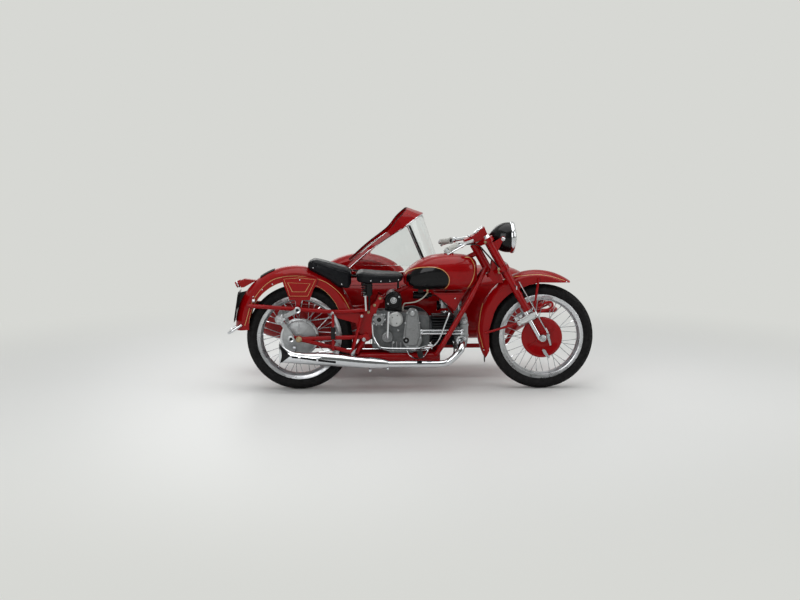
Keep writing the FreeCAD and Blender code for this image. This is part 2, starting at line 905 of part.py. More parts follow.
def headlamp():
    """Make the lamp's shell, its rim and its glass."""
    outer = lamp_outline(s.lamp_radius, s.lamp_length, 0)
    inner_radius = s.lamp_radius - s.lamp_wall
    inner_bulge = inner_radius * lamp_bulge_shares[1]
    inner_bulge_x = -s.lamp_length * lamp_bulge_shares[0] + s.lamp_wall / 2
    shell = turned("headlamp_shell", outer + [
        (0, inner_radius),
        (inner_bulge_x, inner_bulge, s.lamp_wall - s.lamp_length, s.lamp_nose_radius - s.lamp_wall),
        (s.lamp_wall - s.lamp_length, 0),
    ], across_y=False)
    keep(place(shell, lamp_x, 0, lamp_z))
    rim_radius = s.lamp_radius + s.lamp_rim_overlap
    glass_radius = s.lamp_radius - s.lamp_rim_overlap * 2
    rim = turned("headlamp_rim", [
        (0, glass_radius),
        (0, rim_radius),
        (s.lamp_rim_depth / 2, rim_radius),
        (s.lamp_rim_depth, glass_radius),
    ], across_y=False)
    keep(place(rim, lamp_x, 0, lamp_z))
    ball = (glass_radius * glass_radius / s.lamp_glass_bulge + s.lamp_glass_bulge) / 2
    ball_x = s.lamp_rim_depth + s.lamp_glass_bulge - ball
    half_way = math.sqrt(ball * ball - glass_radius * glass_radius / 4)
    glass = turned("headlamp_glass", [
        (s.lamp_rim_depth / 2, 0),
        (s.lamp_rim_depth / 2, glass_radius),
        (s.lamp_rim_depth, glass_radius),
        (ball_x + half_way, glass_radius / 2, s.lamp_rim_depth + s.lamp_glass_bulge, 0),
    ], across_y=False)
    keep(place(glass, lamp_x, 0, lamp_z))


def lamp_brackets():
    """Return both pressed ears that carry the headlamp on the fork legs."""
    wall = s.ear_thickness
    at_y = s.lamp_radius + s.lamp_rim_overlap
    low = fork_point(0, 0, s.ear_low)
    waist = fork_point(s.fork_leg_radius, 0, s.ear_low + (s.ear_high - s.ear_low) * ear_waist_share)
    high = fork_point(0, 0, s.ear_high)
    tip_x = lamp_x - s.lamp_length * ear_tip_share
    ear = prism([
        (low[0], low[2]), (waist[0], waist[2]), (tip_x, lamp_z - s.ear_width / 2),
        (tip_x, lamp_z + s.ear_width / 2), (high[0], high[2]),
    ], -at_y, -at_y + wall)
    eye = disc(tip_x, -at_y + wall / 2, lamp_z, s.ear_width / 2, wall)
    pin = disc(tip_x, -at_y + wall * 3, lamp_z, wall * 2, wall * 6)
    bracket = fused([ear, eye, pin]).cut(fork_legs()).cut(lamp_room(s.soft_gap, with_rim=False))
    return Part.makeCompound(mirrored_pair(bracket)).cut(fork_yokes())


def instrument_box():
    """Return the wedge-shaped box of dials behind the headlamp."""
    x, _, z = bar_middle()
    outline = []
    for length_share, height_share in panel_shares:
        outline.append((x + s.panel_length * length_share, z + s.panel_height * height_share))
    box = prism(outline, -s.panel_half_width, s.panel_half_width)
    return box.cut(handlebar()).cut(fork_yokes()).cut(lamp_room(s.soft_gap))


lamp_bulge_shares = (0.62, 0.80)
ear_tip_share = 0.42
ear_waist_share = 0.45
panel_shares = [
    (0.083, 0.264), (0.517, 0.764), (0.69, 0.198), (0.593, 0.066),
    (0.103, -0.17), (-0.31, -0.236), (-0.31, 0.0),
]
feature("fork_legs", fork_legs())
feature("fork_sliders", fork_sliders())
feature("fork_yokes", fork_yokes())
feature("handlebar", handlebar())
feature("grips", grips())
feature("levers", levers())
headlamp()
feature("lamp_brackets", lamp_brackets())
feature("instrument_box", instrument_box())


# Mudguards

def guard(label, centre, radius, half_width, skirt, start, end):
    """Turn a U section round a wheel from one angle to another, counted up from +X."""
    wall = s.guard_wall
    shoulder = radius - half_width * guard_shoulder_share
    outline = [
        (radius - skirt, -half_width),
        (shoulder, -half_width),
        (radius, 0, shoulder, half_width),
        (radius - skirt, half_width),
        (radius - skirt, half_width - wall),
        (shoulder, half_width - wall),
        (radius - wall, 0, shoulder, -half_width + wall),
        (radius - skirt, -half_width + wall),
    ]
    body = turned(label, outline, degrees=float(end - start))
    return place(body, *centre, rotation=Rotation(Vector(0, 1, 0), -float(end)))


def guard_stay(ends, radius):
    """Return a pair of straight stays."""
    return mirrored_pair(bar(ends[0], ends[1], radius))


def front_mudguard():
    """Make the front mudguard, whose skirt runs out to a point at both ends."""
    section = guard(
        "front_mudguard_section", (front_guard_x, 0, front_guard_z), s.front_guard_radius,
        s.front_guard_half_width, s.front_guard_skirt, s.front_guard_start, s.front_guard_end)
    outline = []
    for x_share, z_share in front_skirt_shares:
        outline.append((front_guard_x + s.front_guard_radius * x_share,
                        front_guard_z + s.front_guard_radius * z_share))
    reach = s.front_guard_half_width + s.side_gap
    below = document.addObject("Part::Feature", "front_mudguard_room")
    below.Shape = prism(outline, -reach, reach)
    place(below)
    document.recompute()
    return combined("front_mudguard", "Part::Cut", section, [below])


guard_shoulder_share = 0.5
front_skirt_shares = [
    (0.591, 0.786), (0.492, 0.794), (0.036, 0.797), (-0.14, 0.755), (-0.453, 0.613),
    (-0.64, 0.448), (-0.72, 0.283), (-0.808, -0.03), (-0.797, -0.363), (-0.87, -0.55),
    (0.0, -0.5), (0.8, 0.5),
]
front_mudguard()
rear_guard = keep(guard(
    "rear_mudguard", (rear_guard_x, 0, rear_guard_z), s.rear_guard_radius,
    s.rear_guard_half_width, s.rear_guard_skirt, s.rear_guard_start, s.rear_guard_end))
sidecar_guard = keep(guard(
    "sidecar_mudguard", (s.sidecar_wheel_x, s.sidecar_wheel_y, axle_z), s.sidecar_guard_radius,
    s.sidecar_guard_half_width, s.sidecar_guard_skirt, s.sidecar_guard_start, s.sidecar_guard_end))
document.recompute()


def front_stays():
    """Return the stays from the fork's shoes to the front mudguard."""
    stay_y = s.front_guard_half_width + s.guard_stay_radius
    top = s.fork_shoe_at + s.fork_shoe_depth / 2
    front_foot = fork_point(s.fork_shoe_front - s.guard_stay_radius * 2, stay_y, top)
    skirt = s.front_guard_radius - s.front_guard_skirt / 2
    front_top = (front_guard_x + skirt * math.cos(math.radians(front_stay_angle)), stay_y,
                 front_guard_z + skirt * math.sin(math.radians(front_stay_angle)))
    rear_foot = fork_point(-s.fork_shoe_rear, stay_y, s.fork_shoe_at)
    rear_top = (front_guard_x + skirt * math.cos(math.radians(rear_stay_angle)), stay_y,
                front_guard_z + skirt * math.sin(math.radians(rear_stay_angle)))
    stays = guard_stay((front_foot, front_top), s.guard_stay_radius)
    stays += guard_stay((rear_foot, rear_top), s.guard_stay_radius)
    whole = Part.makeCompound(stays)
    return whole.cut(fork_sliders())


front_stay_angle = 88
rear_stay_angle = 184
feature("front_stays", front_stays())


def front_brake_plate():
    """Make the fixed brake plate that covers the front drum."""
    inner_y = -s.hub_half_length - s.side_gap
    outer_y = inner_y - s.brake_plate_wall
    boss_y = -s.fork_leg_y + s.fork_lug_width / 2
    ridge = s.brake_plate_radius - s.brake_plate_dish * 2
    outline = [
        (s.axle_radius, inner_y),
        (s.brake_plate_radius, inner_y),
        (s.brake_plate_radius, outer_y),
        (ridge, outer_y - s.brake_plate_dish / 2),
        (s.fork_lug_radius + s.brake_plate_dish, outer_y - s.brake_plate_dish),
        (s.fork_lug_radius, boss_y),
        (s.axle_radius, boss_y),
    ]
    return keep(place(turned("front_brake_plate", outline), front_axle_x, 0, axle_z))


front_brake_plate()


# Frame

def top_tube_front():
    """Return the top tube's end at the steering head."""
    return fork_point(-s.head_setback, 0, s.head_high - s.tube_radius * 2)


def down_tube_points():
    """Return the near down tube's route, from the steering head to the spring box."""
    root = fork_point(-s.head_setback, -s.head_radius / 2, s.head_low + s.tube_radius * 2)
    foot = (s.down_tube_foot_x, -s.spring_box_half_width, s.down_tube_foot_z)
    knees = []
    for share in down_tube_knee_shares:
        knees.append((root[0] + (foot[0] - root[0]) * share, -s.down_tube_y,
                      root[2] + (foot[2] - root[2]) * share))
    return [root] + knees + [foot]


def down_tube(radius):
    """Return the near down tube."""
    return tube(down_tube_points(), radius, s.tube_radius * 2)


def head_and_down_tubes():
    """Return the steering head with the top tube and both down tubes."""
    head = upright_bar(-s.head_setback, 0, s.head_low, s.head_high, s.head_radius)
    bore = upright_bar(-s.head_setback, 0, s.head_low, s.head_high, s.steerer_radius + s.running_gap)
    top_tube = bar(top_tube_front(), (s.top_tube_rear_x, 0, s.top_tube_rear_z), s.tube_radius)
    return fused([head, top_tube] + mirrored_pair(down_tube(s.tube_radius))).cut(bore)


def rear_frame():
    """Return both gusset plates with the rear rails that run out to the tail."""
    plate_y = s.rail_y - s.rail_radius
    eye = s.rail_radius * 2
    outline = [
        (s.gusset_top_x - eye / 2, s.gusset_top_z + eye / 2),
        (s.gusset_top_x + eye / 2, s.gusset_top_z),
        (s.gusset_low_x + eye, s.rail_front_z),
        (s.gusset_low_x, s.gusset_low_z),
        (s.rail_knee_x + eye, s.rail_knee_z - s.rail_radius * 3),
        (s.rail_knee_x, s.rail_knee_z),
        (s.rail_front_x, s.rail_front_z + s.rail_radius / 2),
        (s.gusset_top_x - eye, s.gusset_top_z - eye),
    ]
    lug_radius = s.arm_bush_radius + s.gusset_wall * 2
    hanger = [
        (s.gusset_low_x, s.gusset_low_z + eye), (s.gusset_low_x, s.gusset_low_z),
        (s.arm_pivot_x + lug_radius, s.arm_pivot_z), (s.arm_pivot_x - lug_radius, s.arm_pivot_z),
        (s.gusset_low_x - eye * 4, s.gusset_low_z + eye),
    ]
    gusset = fused([
        prism(outline, -plate_y, -plate_y - s.gusset_wall),
        prism(hanger, -plate_y, -plate_y - s.gusset_wall),
        disc(s.arm_pivot_x, -plate_y - s.gusset_wall / 2, s.arm_pivot_z, lug_radius, s.gusset_wall),
    ]).cut(disc(s.arm_pivot_x, -plate_y, s.arm_pivot_z, s.arm_bush_radius, s.arm_bush_radius))
    rail = tube([
        (rear_axle_x - s.rail_behind, -s.rail_y, s.rail_rear_z),
        (s.rail_knee_x, -s.rail_y, s.rail_knee_z),
        (s.rail_front_x, -s.rail_y, s.rail_front_z),
    ], s.rail_radius, s.rail_radius * 8)
    bridge = disc(s.top_tube_rear_x, 0, s.top_tube_rear_z, s.tube_radius, 2 * plate_y)
    rails = fused(mirrored_pair(fused([gusset, rail])) + [bridge]).cut(head_and_down_tubes())
    return fused([rails] + mirrored_pair(fused(hangers(plate_y)))).cut(swinging_arm())


def hangers(plate_y):
    """Return the footrest hanger and the brace outside the near side of the swinging arm."""
    y = -s.hanger_y
    outer_y = y - s.hanger_radius
    parts = [
        bar((s.rail_knee_x, y, s.rail_knee_z), (s.rail_knee_x, y, s.hanger_low), s.hanger_radius),
        bar((s.brace_top_x, y, s.brace_top_z), (s.brace_low_x, y, s.brace_low_z), s.hanger_radius),
    ]
    for x, z, root_y in (
        (s.rail_knee_x, s.rail_knee_z, -s.rail_y),
        (s.brace_top_x, s.brace_top_z, -plate_y),
        (s.brace_low_x, s.brace_low_z, -s.arm_y),
    ):
        parts.append(bar((x, root_y, z), (x, outer_y, z), s.hanger_lug_radius))
    return parts


def spring_box():
    """Return the box of springs under the engine."""
    length = s.spring_box_front_x - s.spring_box_rear_x
    width = 2 * s.spring_box_half_width
    height = s.spring_box_high - s.spring_box_low
    corner = Vector(s.spring_box_rear_x, -s.spring_box_half_width, s.spring_box_low)
    box = Part.makeBox(length, width, height, corner)
    long_edges = [edge for edge in box.Edges if edge.BoundBox.XLength > height]
    box = box.makeFillet(float(s.spring_box_round), long_edges)
    return box.cut(head_and_down_tubes())


# Swinging arm, friction dampers and chain

def damper_foot():
    """Return where the dampers' lower ends sit on the swinging arm."""
    return rear_axle_x - s.damper_low_behind, s.damper_low_z


def swinging_arm():
    """Return the rear fork with its pivot and the rear axle."""
    y = -s.arm_y
    pivot = (s.arm_pivot_x, y, s.arm_pivot_z)
    axle = (rear_axle_x, y, axle_z)
    low = (s.arm_low_x, y, s.arm_low_z)
    foot_x, foot_z = damper_foot()
    side = fused([
        bar(pivot, axle, s.arm_radius),
        bar(low, axle, s.arm_radius),
        bar(low, pivot, s.arm_radius),
        disc(rear_axle_x, y, axle_z, s.arm_bush_radius, 2 * s.arm_radius),
        disc(foot_x, y, foot_z, s.arm_radius, 2 * s.arm_radius),
        bar(axle, (foot_x, y, foot_z), s.arm_radius * arm_tip_share),
    ])
    reach = s.arm_y + s.arm_radius
    bush = disc(s.arm_pivot_x, 0, s.arm_pivot_z, s.arm_bush_radius, 2 * reach)
    spindle = disc(rear_axle_x, 0, axle_z, s.axle_radius, 2 * (reach + s.axle_nut_width))
    nut_y = reach + s.axle_nut_width / 2
    nuts = mirrored_pair(disc(rear_axle_x, nut_y, axle_z, s.axle_nut_radius, s.axle_nut_width))
    return fused(mirrored_pair(side) + [bush, spindle] + nuts)


def dampers():
    """Return the friction dampers between the rails and the swinging arm."""
    outer_y = -s.damper_y
    half = s.damper_half_width
    top = (rear_axle_x - s.damper_top_behind, s.damper_top_z)
    knee = (rear_axle_x - s.damper_knee_behind, s.damper_knee_z)
    low = damper_foot()
    parts = [damper_arm(top, knee, outer_y), damper_arm(knee, low, outer_y)]
    inner_y = -s.arm_y - s.arm_radius
    parts.append(disc(knee[0], outer_y, knee[1], s.damper_disc_radius * damper_hub_share,
                      s.damper_disc_width))
    for x, z in (top, low):
        parts.append(disc(x, (outer_y + inner_y) / 2, z, half / 2, s.damper_y + inner_y))
        parts.append(disc(x, outer_y, z, half, s.damper_wall + half / 2))
    return Part.makeCompound(mirrored_pair(fused(parts).cut(rear_frame()).cut(swinging_arm())))


def damper_arm(start, end, y):
    """Return one flat damper arm with round ends."""
    run = Vector(end[0] - start[0], 0, end[1] - start[1])
    across = Vector(run.z, 0, -run.x).normalize() * float(s.damper_half_width)
    first, last = Vector(start[0], 0, start[1]), Vector(end[0], 0, end[1])
    corners = [first + across, last + across, last - across, first - across]
    web = prism([(corner.x, corner.z) for corner in corners], y - s.damper_wall / 2, y + s.damper_wall / 2)
    ends = [disc(point[0], y, point[1], s.damper_half_width, s.damper_wall) for point in (start, end)]
    return fused([web] + ends)


def chain():
    """Return the drive chain as one fixed loop, with its driving sprocket."""
    half = s.chain_half_height
    front = Vector(s.drive_sprocket_x, s.chain_y, s.drive_sprocket_z)
    rear = Vector(rear_axle_x, s.chain_y, axle_z)
    outer = belt(front, s.drive_sprocket_radius + half, rear, s.wheel_sprocket_radius + half)
    inner = belt(front, s.drive_sprocket_radius - half, rear, s.wheel_sprocket_radius - half)
    loop = outer.cut(inner)
    sprocket = disc(*front, s.drive_sprocket_radius - half, s.chain_half_width)
    return fused([loop, sprocket])


def belt(front, front_radius, rear, rear_radius):
    """Return the full shape inside a belt round two discs."""
    run = rear - front
    sine = float(front_radius - rear_radius) / run.Length
    base = math.atan2(run.z, run.x)
    offsets = [base + side * (math.pi / 2 - math.asin(-sine) * 1.0) for side in (1, -1)]
    tangents = []
    for angle in offsets:
        normal = Vector(math.cos(angle), 0, math.sin(angle))
        tangents.append((front + normal * float(front_radius), rear + normal * float(rear_radius)))
    corners = [tangents[0][0], tangents[0][1], tangents[1][1], tangents[1][0]]
    outline = [(corner.x, corner.z) for corner in corners]
    half = s.chain_half_width
    web = prism(outline, s.chain_y - half, s.chain_y + half)
    return fused([web, disc(*front, front_radius, 2 * half), disc(*rear, rear_radius, 2 * half)])


down_tube_knee_shares = (0.36, 0.88)
arm_tip_share = 0.8
damper_hub_share = 0.75
feature("head_frame", head_and_down_tubes())
feature("rear_frame", rear_frame())
feature("spring_box", spring_box())
feature("swinging_arm", swinging_arm())
feature("friction_dampers", dampers())
feature("drive_chain", chain())


# Engine

def crankcase():
    """Return the crankcase and gearbox with the covers on their right side."""
    half = s.engine_half_width
    front = s.cylinder_start_x
    low = s.spring_box_high
    main = rounded_prism([
        (s.gearbox_front_x, s.gearbox_low_z),
        (s.gearbox_front_x, s.gearbox_high_z),
        (front, s.crank_z + s.fin_radius),
        (front, s.crank_z - s.fin_radius),
        (s.crank_x, low),
        (s.gearbox_front_x + s.cover_wall, low),
    ], -half, half, s.case_round)
    gearbox = rounded_prism([
        (s.gearbox_rear_x, s.gearbox_low_z),
        (s.gearbox_rear_x, s.gearbox_high_z),
        (s.gearbox_front_x + s.case_round, s.gearbox_high_z),
        (s.gearbox_front_x + s.case_round, s.gearbox_low_z),
    ], -half, s.chain_y - s.cover_wall, s.case_round)
    wall = s.cover_wall
    covers = [
        disc(s.round_cover_x, -half - wall / 2, s.round_cover_z, s.round_cover_radius, wall),
        disc(s.clutch_x, -half - wall / 2, s.clutch_z, s.clutch_radius, wall),
        disc(s.selector_x, -half - wall / 2, s.selector_z, s.selector_radius, wall),
    ]
    shaft_end = s.chain_y - s.chain_half_width / 2
    shaft = disc(s.drive_sprocket_x, shaft_end / 2, s.drive_sprocket_z, s.axle_radius, shaft_end)
    crank = disc(s.crank_x, half + s.flywheel_gap / 2, s.crank_z, s.flywheel_boss_radius, s.flywheel_gap)
    case = fused([main, gearbox, crank, shaft] + covers)
    arm_bush = disc(s.arm_pivot_x, 0, s.arm_pivot_z, s.arm_bush_radius, 2 * half + wall)
    return case.cut(fused([rear_frame(), arm_bush])).cut(spring_box()).cut(chain())


def timing_cover():
    """Return the pear-shaped timing cover on the right side."""
    half = s.timing_cover_half_width
    y = -s.engine_half_width
    top_radius = half * timing_top_share
    top_z = s.timing_cover_high - top_radius
    low_z = s.timing_cover_low + half
    wide = disc(s.crank_x, y - s.timing_cover_wall / 2, low_z, half, s.timing_cover_wall)
    high = disc(s.crank_x, y - s.timing_cover_wall / 2, top_z, top_radius, s.timing_cover_wall)
    web = prism([
        (s.crank_x - half, low_z), (s.crank_x - top_radius, top_z),
        (s.crank_x + top_radius, top_z), (s.crank_x + half, low_z),
    ], y - s.timing_cover_wall, y)
    return fused([wide, high, web]).cut(crankcase())


def finned_barrel():
    """Make the finned cylinder, turned about its own axis."""
    length = s.cylinder_end_x - s.cylinder_start_x
    count = round(float(s.fin_count))
    pitch = length / count
    outline = [(0, 0), (0, s.cylinder_radius)]
    for index in range(count):
        start = pitch * index + pitch / 2 - s.fin_wall / 2
        outline += [
            (start, s.cylinder_radius),
            (start, s.fin_radius),
            (start + s.fin_wall, s.fin_radius),
            (start + s.fin_wall, s.cylinder_radius),
        ]
    outline += [(length, s.cylinder_radius), (length, 0)]
    barrel = turned("cylinder", outline, across_y=False)
    return keep(place(barrel, s.cylinder_start_x, 0, s.crank_z))


def cylinder_head():
    """Return the finned cylinder head with its rocker box."""
    length = s.head_end_x - s.cylinder_end_x
    core_half = s.head_fin_half_width * head_core_share
    core_height = s.head_fin_half_height * head_core_share
    core = Part.makeBox(length, 2 * core_half, 2 * core_height,
                        Vector(s.cylinder_end_x, -core_half, s.crank_z - core_height))
    parts = [core]
    count = round(float(s.head_fin_count))
    for index in range(count):
        x = s.cylinder_end_x + length * (index + 0.5) / count - s.fin_wall / 2
        fin = Part.makeBox(
            s.fin_wall, 2 * s.head_fin_half_width, 2 * s.head_fin_half_height,
            Vector(x, -s.head_fin_half_width, s.crank_z - s.head_fin_half_height))
        edges = [edge for edge in fin.Edges if edge.BoundBox.XLength > s.fin_wall / 2
                 and edge.BoundBox.YLength < s.fin_wall and edge.BoundBox.ZLength < s.fin_wall]
        parts.append(fin.makeFillet(float(s.head_fin_half_width / 3), edges))
    return fused(parts)


def pushrod_tubes():
    """Return both pushrod tubes beside the fins."""
    tubes = []
    y = -s.pushrod_y
    for side in (-1, 1):
        z = s.crank_z - s.pushrod_radius + side * s.pushrod_radius * 1.6
        tubes.append(bar((s.crank_x + s.timing_cover_half_width - s.pushrod_radius * 3, y, z),
                         (s.head_end_x - s.pushrod_radius * 5, y, z), s.pushrod_radius))
    return Part.makeCompound(tubes).cut(timing_cover()).cut(cylinder_head())


def dynamo():
    """Return the dynamo that lies across the crankcase."""
    body = disc(s.dynamo_x, 0, s.dynamo_z, s.dynamo_radius, 2 * s.dynamo_half_length)
    cap = disc(s.dynamo_x, 0, s.dynamo_z, s.dynamo_radius / 3, 2 * s.dynamo_half_length + s.cover_wall)
    foot = prism([
        (s.dynamo_x - s.dynamo_radius, s.gearbox_high_z - s.cover_wall),
        (s.dynamo_x - s.dynamo_radius, s.dynamo_z),
        (s.dynamo_x + s.dynamo_radius, s.dynamo_z),
        (s.dynamo_x + s.dynamo_radius, s.gearbox_high_z - s.cover_wall),
    ], -s.dynamo_half_length / 2, s.dynamo_half_length / 2)
    return fused([body, cap, foot]).cut(crankcase()).cut(rear_frame()).cut(head_and_down_tubes())


def flywheel():
    """Return the large open flywheel on the crankcase's left side."""
    y = s.engine_half_width + s.flywheel_gap + s.flywheel_width / 2
    wheel = disc(s.crank_x, y, s.crank_z, s.flywheel_radius, s.flywheel_width)
    recess = disc(s.crank_x, y + s.flywheel_width / 2, s.crank_z,
                  s.flywheel_radius * flywheel_dish_share, s.flywheel_width)
    boss = disc(s.crank_x, y, s.crank_z, s.flywheel_boss_radius, s.flywheel_width)
    return fused([wheel.cut(recess), boss])


def carburettor():
    """Return the carburettor above the cylinder head, with its intake."""
    x = s.cylinder_end_x + s.carb_radius
    stub = bar((x, 0, s.crank_z + s.fin_radius), (x, 0, s.carb_z), s.carb_radius * carb_neck_share)
    body = bar((s.carb_x, 0, s.carb_z), (x + s.carb_radius, 0, s.carb_z), s.carb_radius)
    chamber = bar((s.carb_x + s.carb_radius, 0, s.carb_z - s.carb_height / 2),
                  (s.carb_x + s.carb_radius, 0, s.carb_z + s.carb_height / 2), s.carb_radius)
    return fused([stub, body, chamber]).cut(cylinder_head()).cut(head_and_down_tubes())


def kick_lever():
    """Return the kick-start lever with its rubber's stub."""
    root = (s.clutch_x, -s.engine_half_width - s.cover_wall / 2, s.clutch_z)
    elbow = (s.clutch_x, -s.kick_y, s.clutch_z)
    lever = tube([root, elbow, (s.kick_x, -s.kick_y, s.kick_top_z)], s.kick_radius, s.kick_radius * 2)
    return lever.cut(crankcase())


def footrests():
    """Return the rider's rests with the bar that carries them."""
    across = bar((s.footrest_x, -s.footrest_y - s.footrest_reach, s.footrest_z - s.footrest_radius),
                 (s.footrest_x, s.footrest_y + s.footrest_reach, s.footrest_z - s.footrest_radius),
                 s.footrest_radius / 2)
    rubbers = mirrored_pair(bar(
        (s.footrest_x, -s.footrest_y, s.footrest_z - s.footrest_radius),
        (s.footrest_x, -s.footrest_y - s.footrest_reach, s.footrest_z - s.footrest_radius),
        s.footrest_radius))
    rest = fused([across] + rubbers)
    return rest.cut(crankcase()).cut(timing_cover()).cut(spring_box()).cut(flywheel())


timing_top_share = 0.62
head_core_share = 0.72
flywheel_dish_share = 0.8
carb_neck_share = 0.8
feature("crankcase", crankcase())
feature("timing_cover", timing_cover())
finned_barrel()
feature("cylinder_head", cylinder_head())
feature("pushrod_tubes", pushrod_tubes())
feature("dynamo", dynamo())
feature("flywheel", flywheel())
feature("carburettor", carburettor())
feature("kick_lever", kick_lever())


# Exhaust

def exhaust_pipe():
    """Return the pipe from the cylinder head to the silencer."""
    port_x = s.head_end_x - s.exhaust_radius * 2
    y = -s.exhaust_y
    low_z = s.silencer_z - s.exhaust_radius * exhaust_drop_share
    points = [
        (port_x, -s.head_fin_half_width / 2, s.crank_z - s.head_fin_half_height / 2),
        (port_x, y, s.crank_z - s.head_fin_half_height * exhaust_elbow_share),
        (port_x - s.exhaust_run, y, low_z),
        (s.silencer_front_x, y, low_z),
    ]
    pipe = tube(points, s.exhaust_radius, s.exhaust_radius * exhaust_bend_share)
    return pipe.cut(cylinder_head())


def silencer():
    """Return the silencer with its upswept fishtail."""
    y = -s.exhaust_y
    length = s.silencer_rear_x - s.silencer_front_x
    stations = []
    for share, half_share, low_share, high_share in silencer_shares:
        stations.append((s.silencer_front_x + length * share, y, s.silencer_radius * half_share,
                         s.silencer_z + s.silencer_radius * low_share,
                         s.silencer_z + s.silencer_radius * high_share))
    stations.append((s.tail_tip_x, y, s.tail_tip_half_width, s.tail_tip_low, s.tail_tip_high))
    return hull(stations, silencer_squareness)


exhaust_drop_share = 1.4
exhaust_elbow_share = 0.8
exhaust_bend_share = 1.6
silencer_squareness = 2.0
silencer_shares = [
    (0.0, 0.56, -1.28, -0.18),
    (0.19, 0.9, -1.4, 0.35),
    (0.5, 1.0, -1.05, 0.9),
    (0.73, 1.0, -0.8, 1.15),
    (0.97, 0.62, -0.55, 1.25),
]
feature("exhaust_pipe", exhaust_pipe())
feature("silencer", silencer())


# Fuel tank, boxes and seats

def fuel_tank():
    """Return the saddle tank with the tunnel for the top tube and its filler cap."""
    length = front_axle_x - s.tank_setback - s.tank_rear_x
    height = s.tank_high - s.tank_low
    stations = []
    for share, half_share, low_share, high_share in tank_shares:
        stations.append((s.tank_rear_x + length * share, 0, s.tank_half_width * half_share,
                         s.tank_low + height * low_share, s.tank_low + height * high_share))
    body = hull(stations, tank_squareness)
    cap_x = front_axle_x - s.tank_cap_setback
    cap = bar((cap_x, 0, s.tank_high - s.tank_cap_height * 2),
              (cap_x, 0, s.tank_high + s.tank_cap_height), s.tank_cap_radius)
    rear = Vector(s.top_tube_rear_x, 0, s.top_tube_rear_z)
    front = Vector(*top_tube_front())
    half = s.tank_tunnel_half_width
    lift = s.tube_radius * (front - rear).Length / (front.x - rear.x)
    tunnel = prism([
        (rear.x, rear.z + lift), (front.x, front.z + lift),
        (front.x, s.tank_low - height), (rear.x, s.tank_low - height),
    ], -half, half)
    tubes = mirrored_pair(down_tube(s.tube_radius + s.side_gap))
    head = upright_bar(-s.head_setback, 0, s.head_low, s.head_high, s.head_radius + s.side_gap)
    return fused([body, cap]).cut(fused([tunnel, head] + tubes))


def front_toolboxes():
    """Return the small three-cornered boxes under the tank."""
    outline = [
        (s.front_box_rear_x, s.front_box_high), (s.front_box_front_x, s.front_box_high),
        (s.front_box_tip_x, s.front_box_low),
    ]
    box = prism(outline, -s.box_y, -s.box_y - s.box_half_width / 2)
    return Part.makeCompound(mirrored_pair(box)).cut(head_and_down_tubes()).cut(carburettor())


def rear_toolboxes():
    """Return the boxes on both sides of the rear mudguard."""
    near = s.rear_guard_half_width
    rear_x = rear_axle_x - s.rear_box_behind
    front_x = rear_x + s.rear_box_length
    box = prism([
        (rear_x, s.rear_box_high), (front_x, s.rear_box_high),
        (front_x - s.rear_box_taper, s.rear_box_low), (rear_x + s.rear_box_taper, s.rear_box_low),
    ], -near, -near - s.side_box_depth)
    return Part.makeCompound(mirrored_pair(box)).cut(rear_frame())


def saddle():
    """Return the rider's saddle as one closed shape."""
    length = s.saddle_front_x - s.saddle_rear_x
    height = s.saddle_high - s.saddle_low
    stations = []
    for share, half_share, low_share, high_share in saddle_shares:
        stations.append((s.saddle_rear_x + length * share, 0, s.saddle_half_width * half_share,
                         s.saddle_low + height * low_share, s.saddle_low + height * high_share))
    return hull(stations, saddle_squareness)


def saddle_mount():
    """Return the saddle's springs and the bar that carries them on the gusset plates."""
    springs = []
    for side in (-1, 1):
        y = side * s.saddle_half_width * saddle_spring_share
        springs.append(bar((s.saddle_spring_x, y, s.saddle_spring_foot_z),
                           (s.saddle_spring_x, y, s.saddle_low - s.soft_gap), s.saddle_spring_radius))
    bridge_y = s.saddle_half_width * saddle_spring_share
    bridge = bar((s.saddle_spring_x, -bridge_y, s.saddle_spring_foot_z),
                 (s.saddle_spring_x, bridge_y, s.saddle_spring_foot_z), s.rail_radius)
    link_y = -s.rail_y + s.rail_radius - s.gusset_wall / 2
    links = mirrored_pair(bar((s.saddle_spring_x, link_y, s.saddle_spring_foot_z),
                              (s.saddle_spring_x, link_y, s.rail_front_z), s.rail_radius / 2))
    nose_x = s.saddle_front_x - s.tube_radius * 2
    front = Vector(*top_tube_front())
    climb = (front.z - s.top_tube_rear_z) / (front.x - s.top_tube_rear_x)
    nose = bar((nose_x, 0, s.top_tube_rear_z + (nose_x - s.top_tube_rear_x) * climb),
               (nose_x, 0, s.saddle_low + s.soft_gap), s.rail_radius / 2)
    whole = fused([bridge] + springs + links)
    room = saddle()
    room.translate(Vector(0, 0, -s.soft_gap))
    both = Part.makeCompound([whole, nose])
    return both.cut(rear_frame()).cut(head_and_down_tubes()).cut(room)


def pillion_pad():
    """Return the wedge-shaped pad on the rear mudguard."""
    half = s.pillion_half_width
    front_x = rear_axle_x + s.pillion_ahead
    rear_x = front_x - s.pillion_length
    outline = [
        (rear_x, s.pillion_rear_z), (rear_x + s.pillion_thickness / 2, s.pillion_high),
        (front_x, s.pillion_front_z), (front_x - s.soft_gap, s.pillion_low),
        (front_x - s.pillion_thickness, s.pillion_low),
        (rear_guard_x, rear_guard_z + s.rear_guard_radius - s.pillion_thickness),
    ]
    return prism(outline, -half, half).cut(guard_disc(s.soft_gap))


def guard_disc(gap):
    """Return the room inside the rear mudguard's crown, grown by a gap."""
    return disc(rear_guard_x, 0, rear_guard_z, s.rear_guard_radius + gap, s.rear_guard_radius)


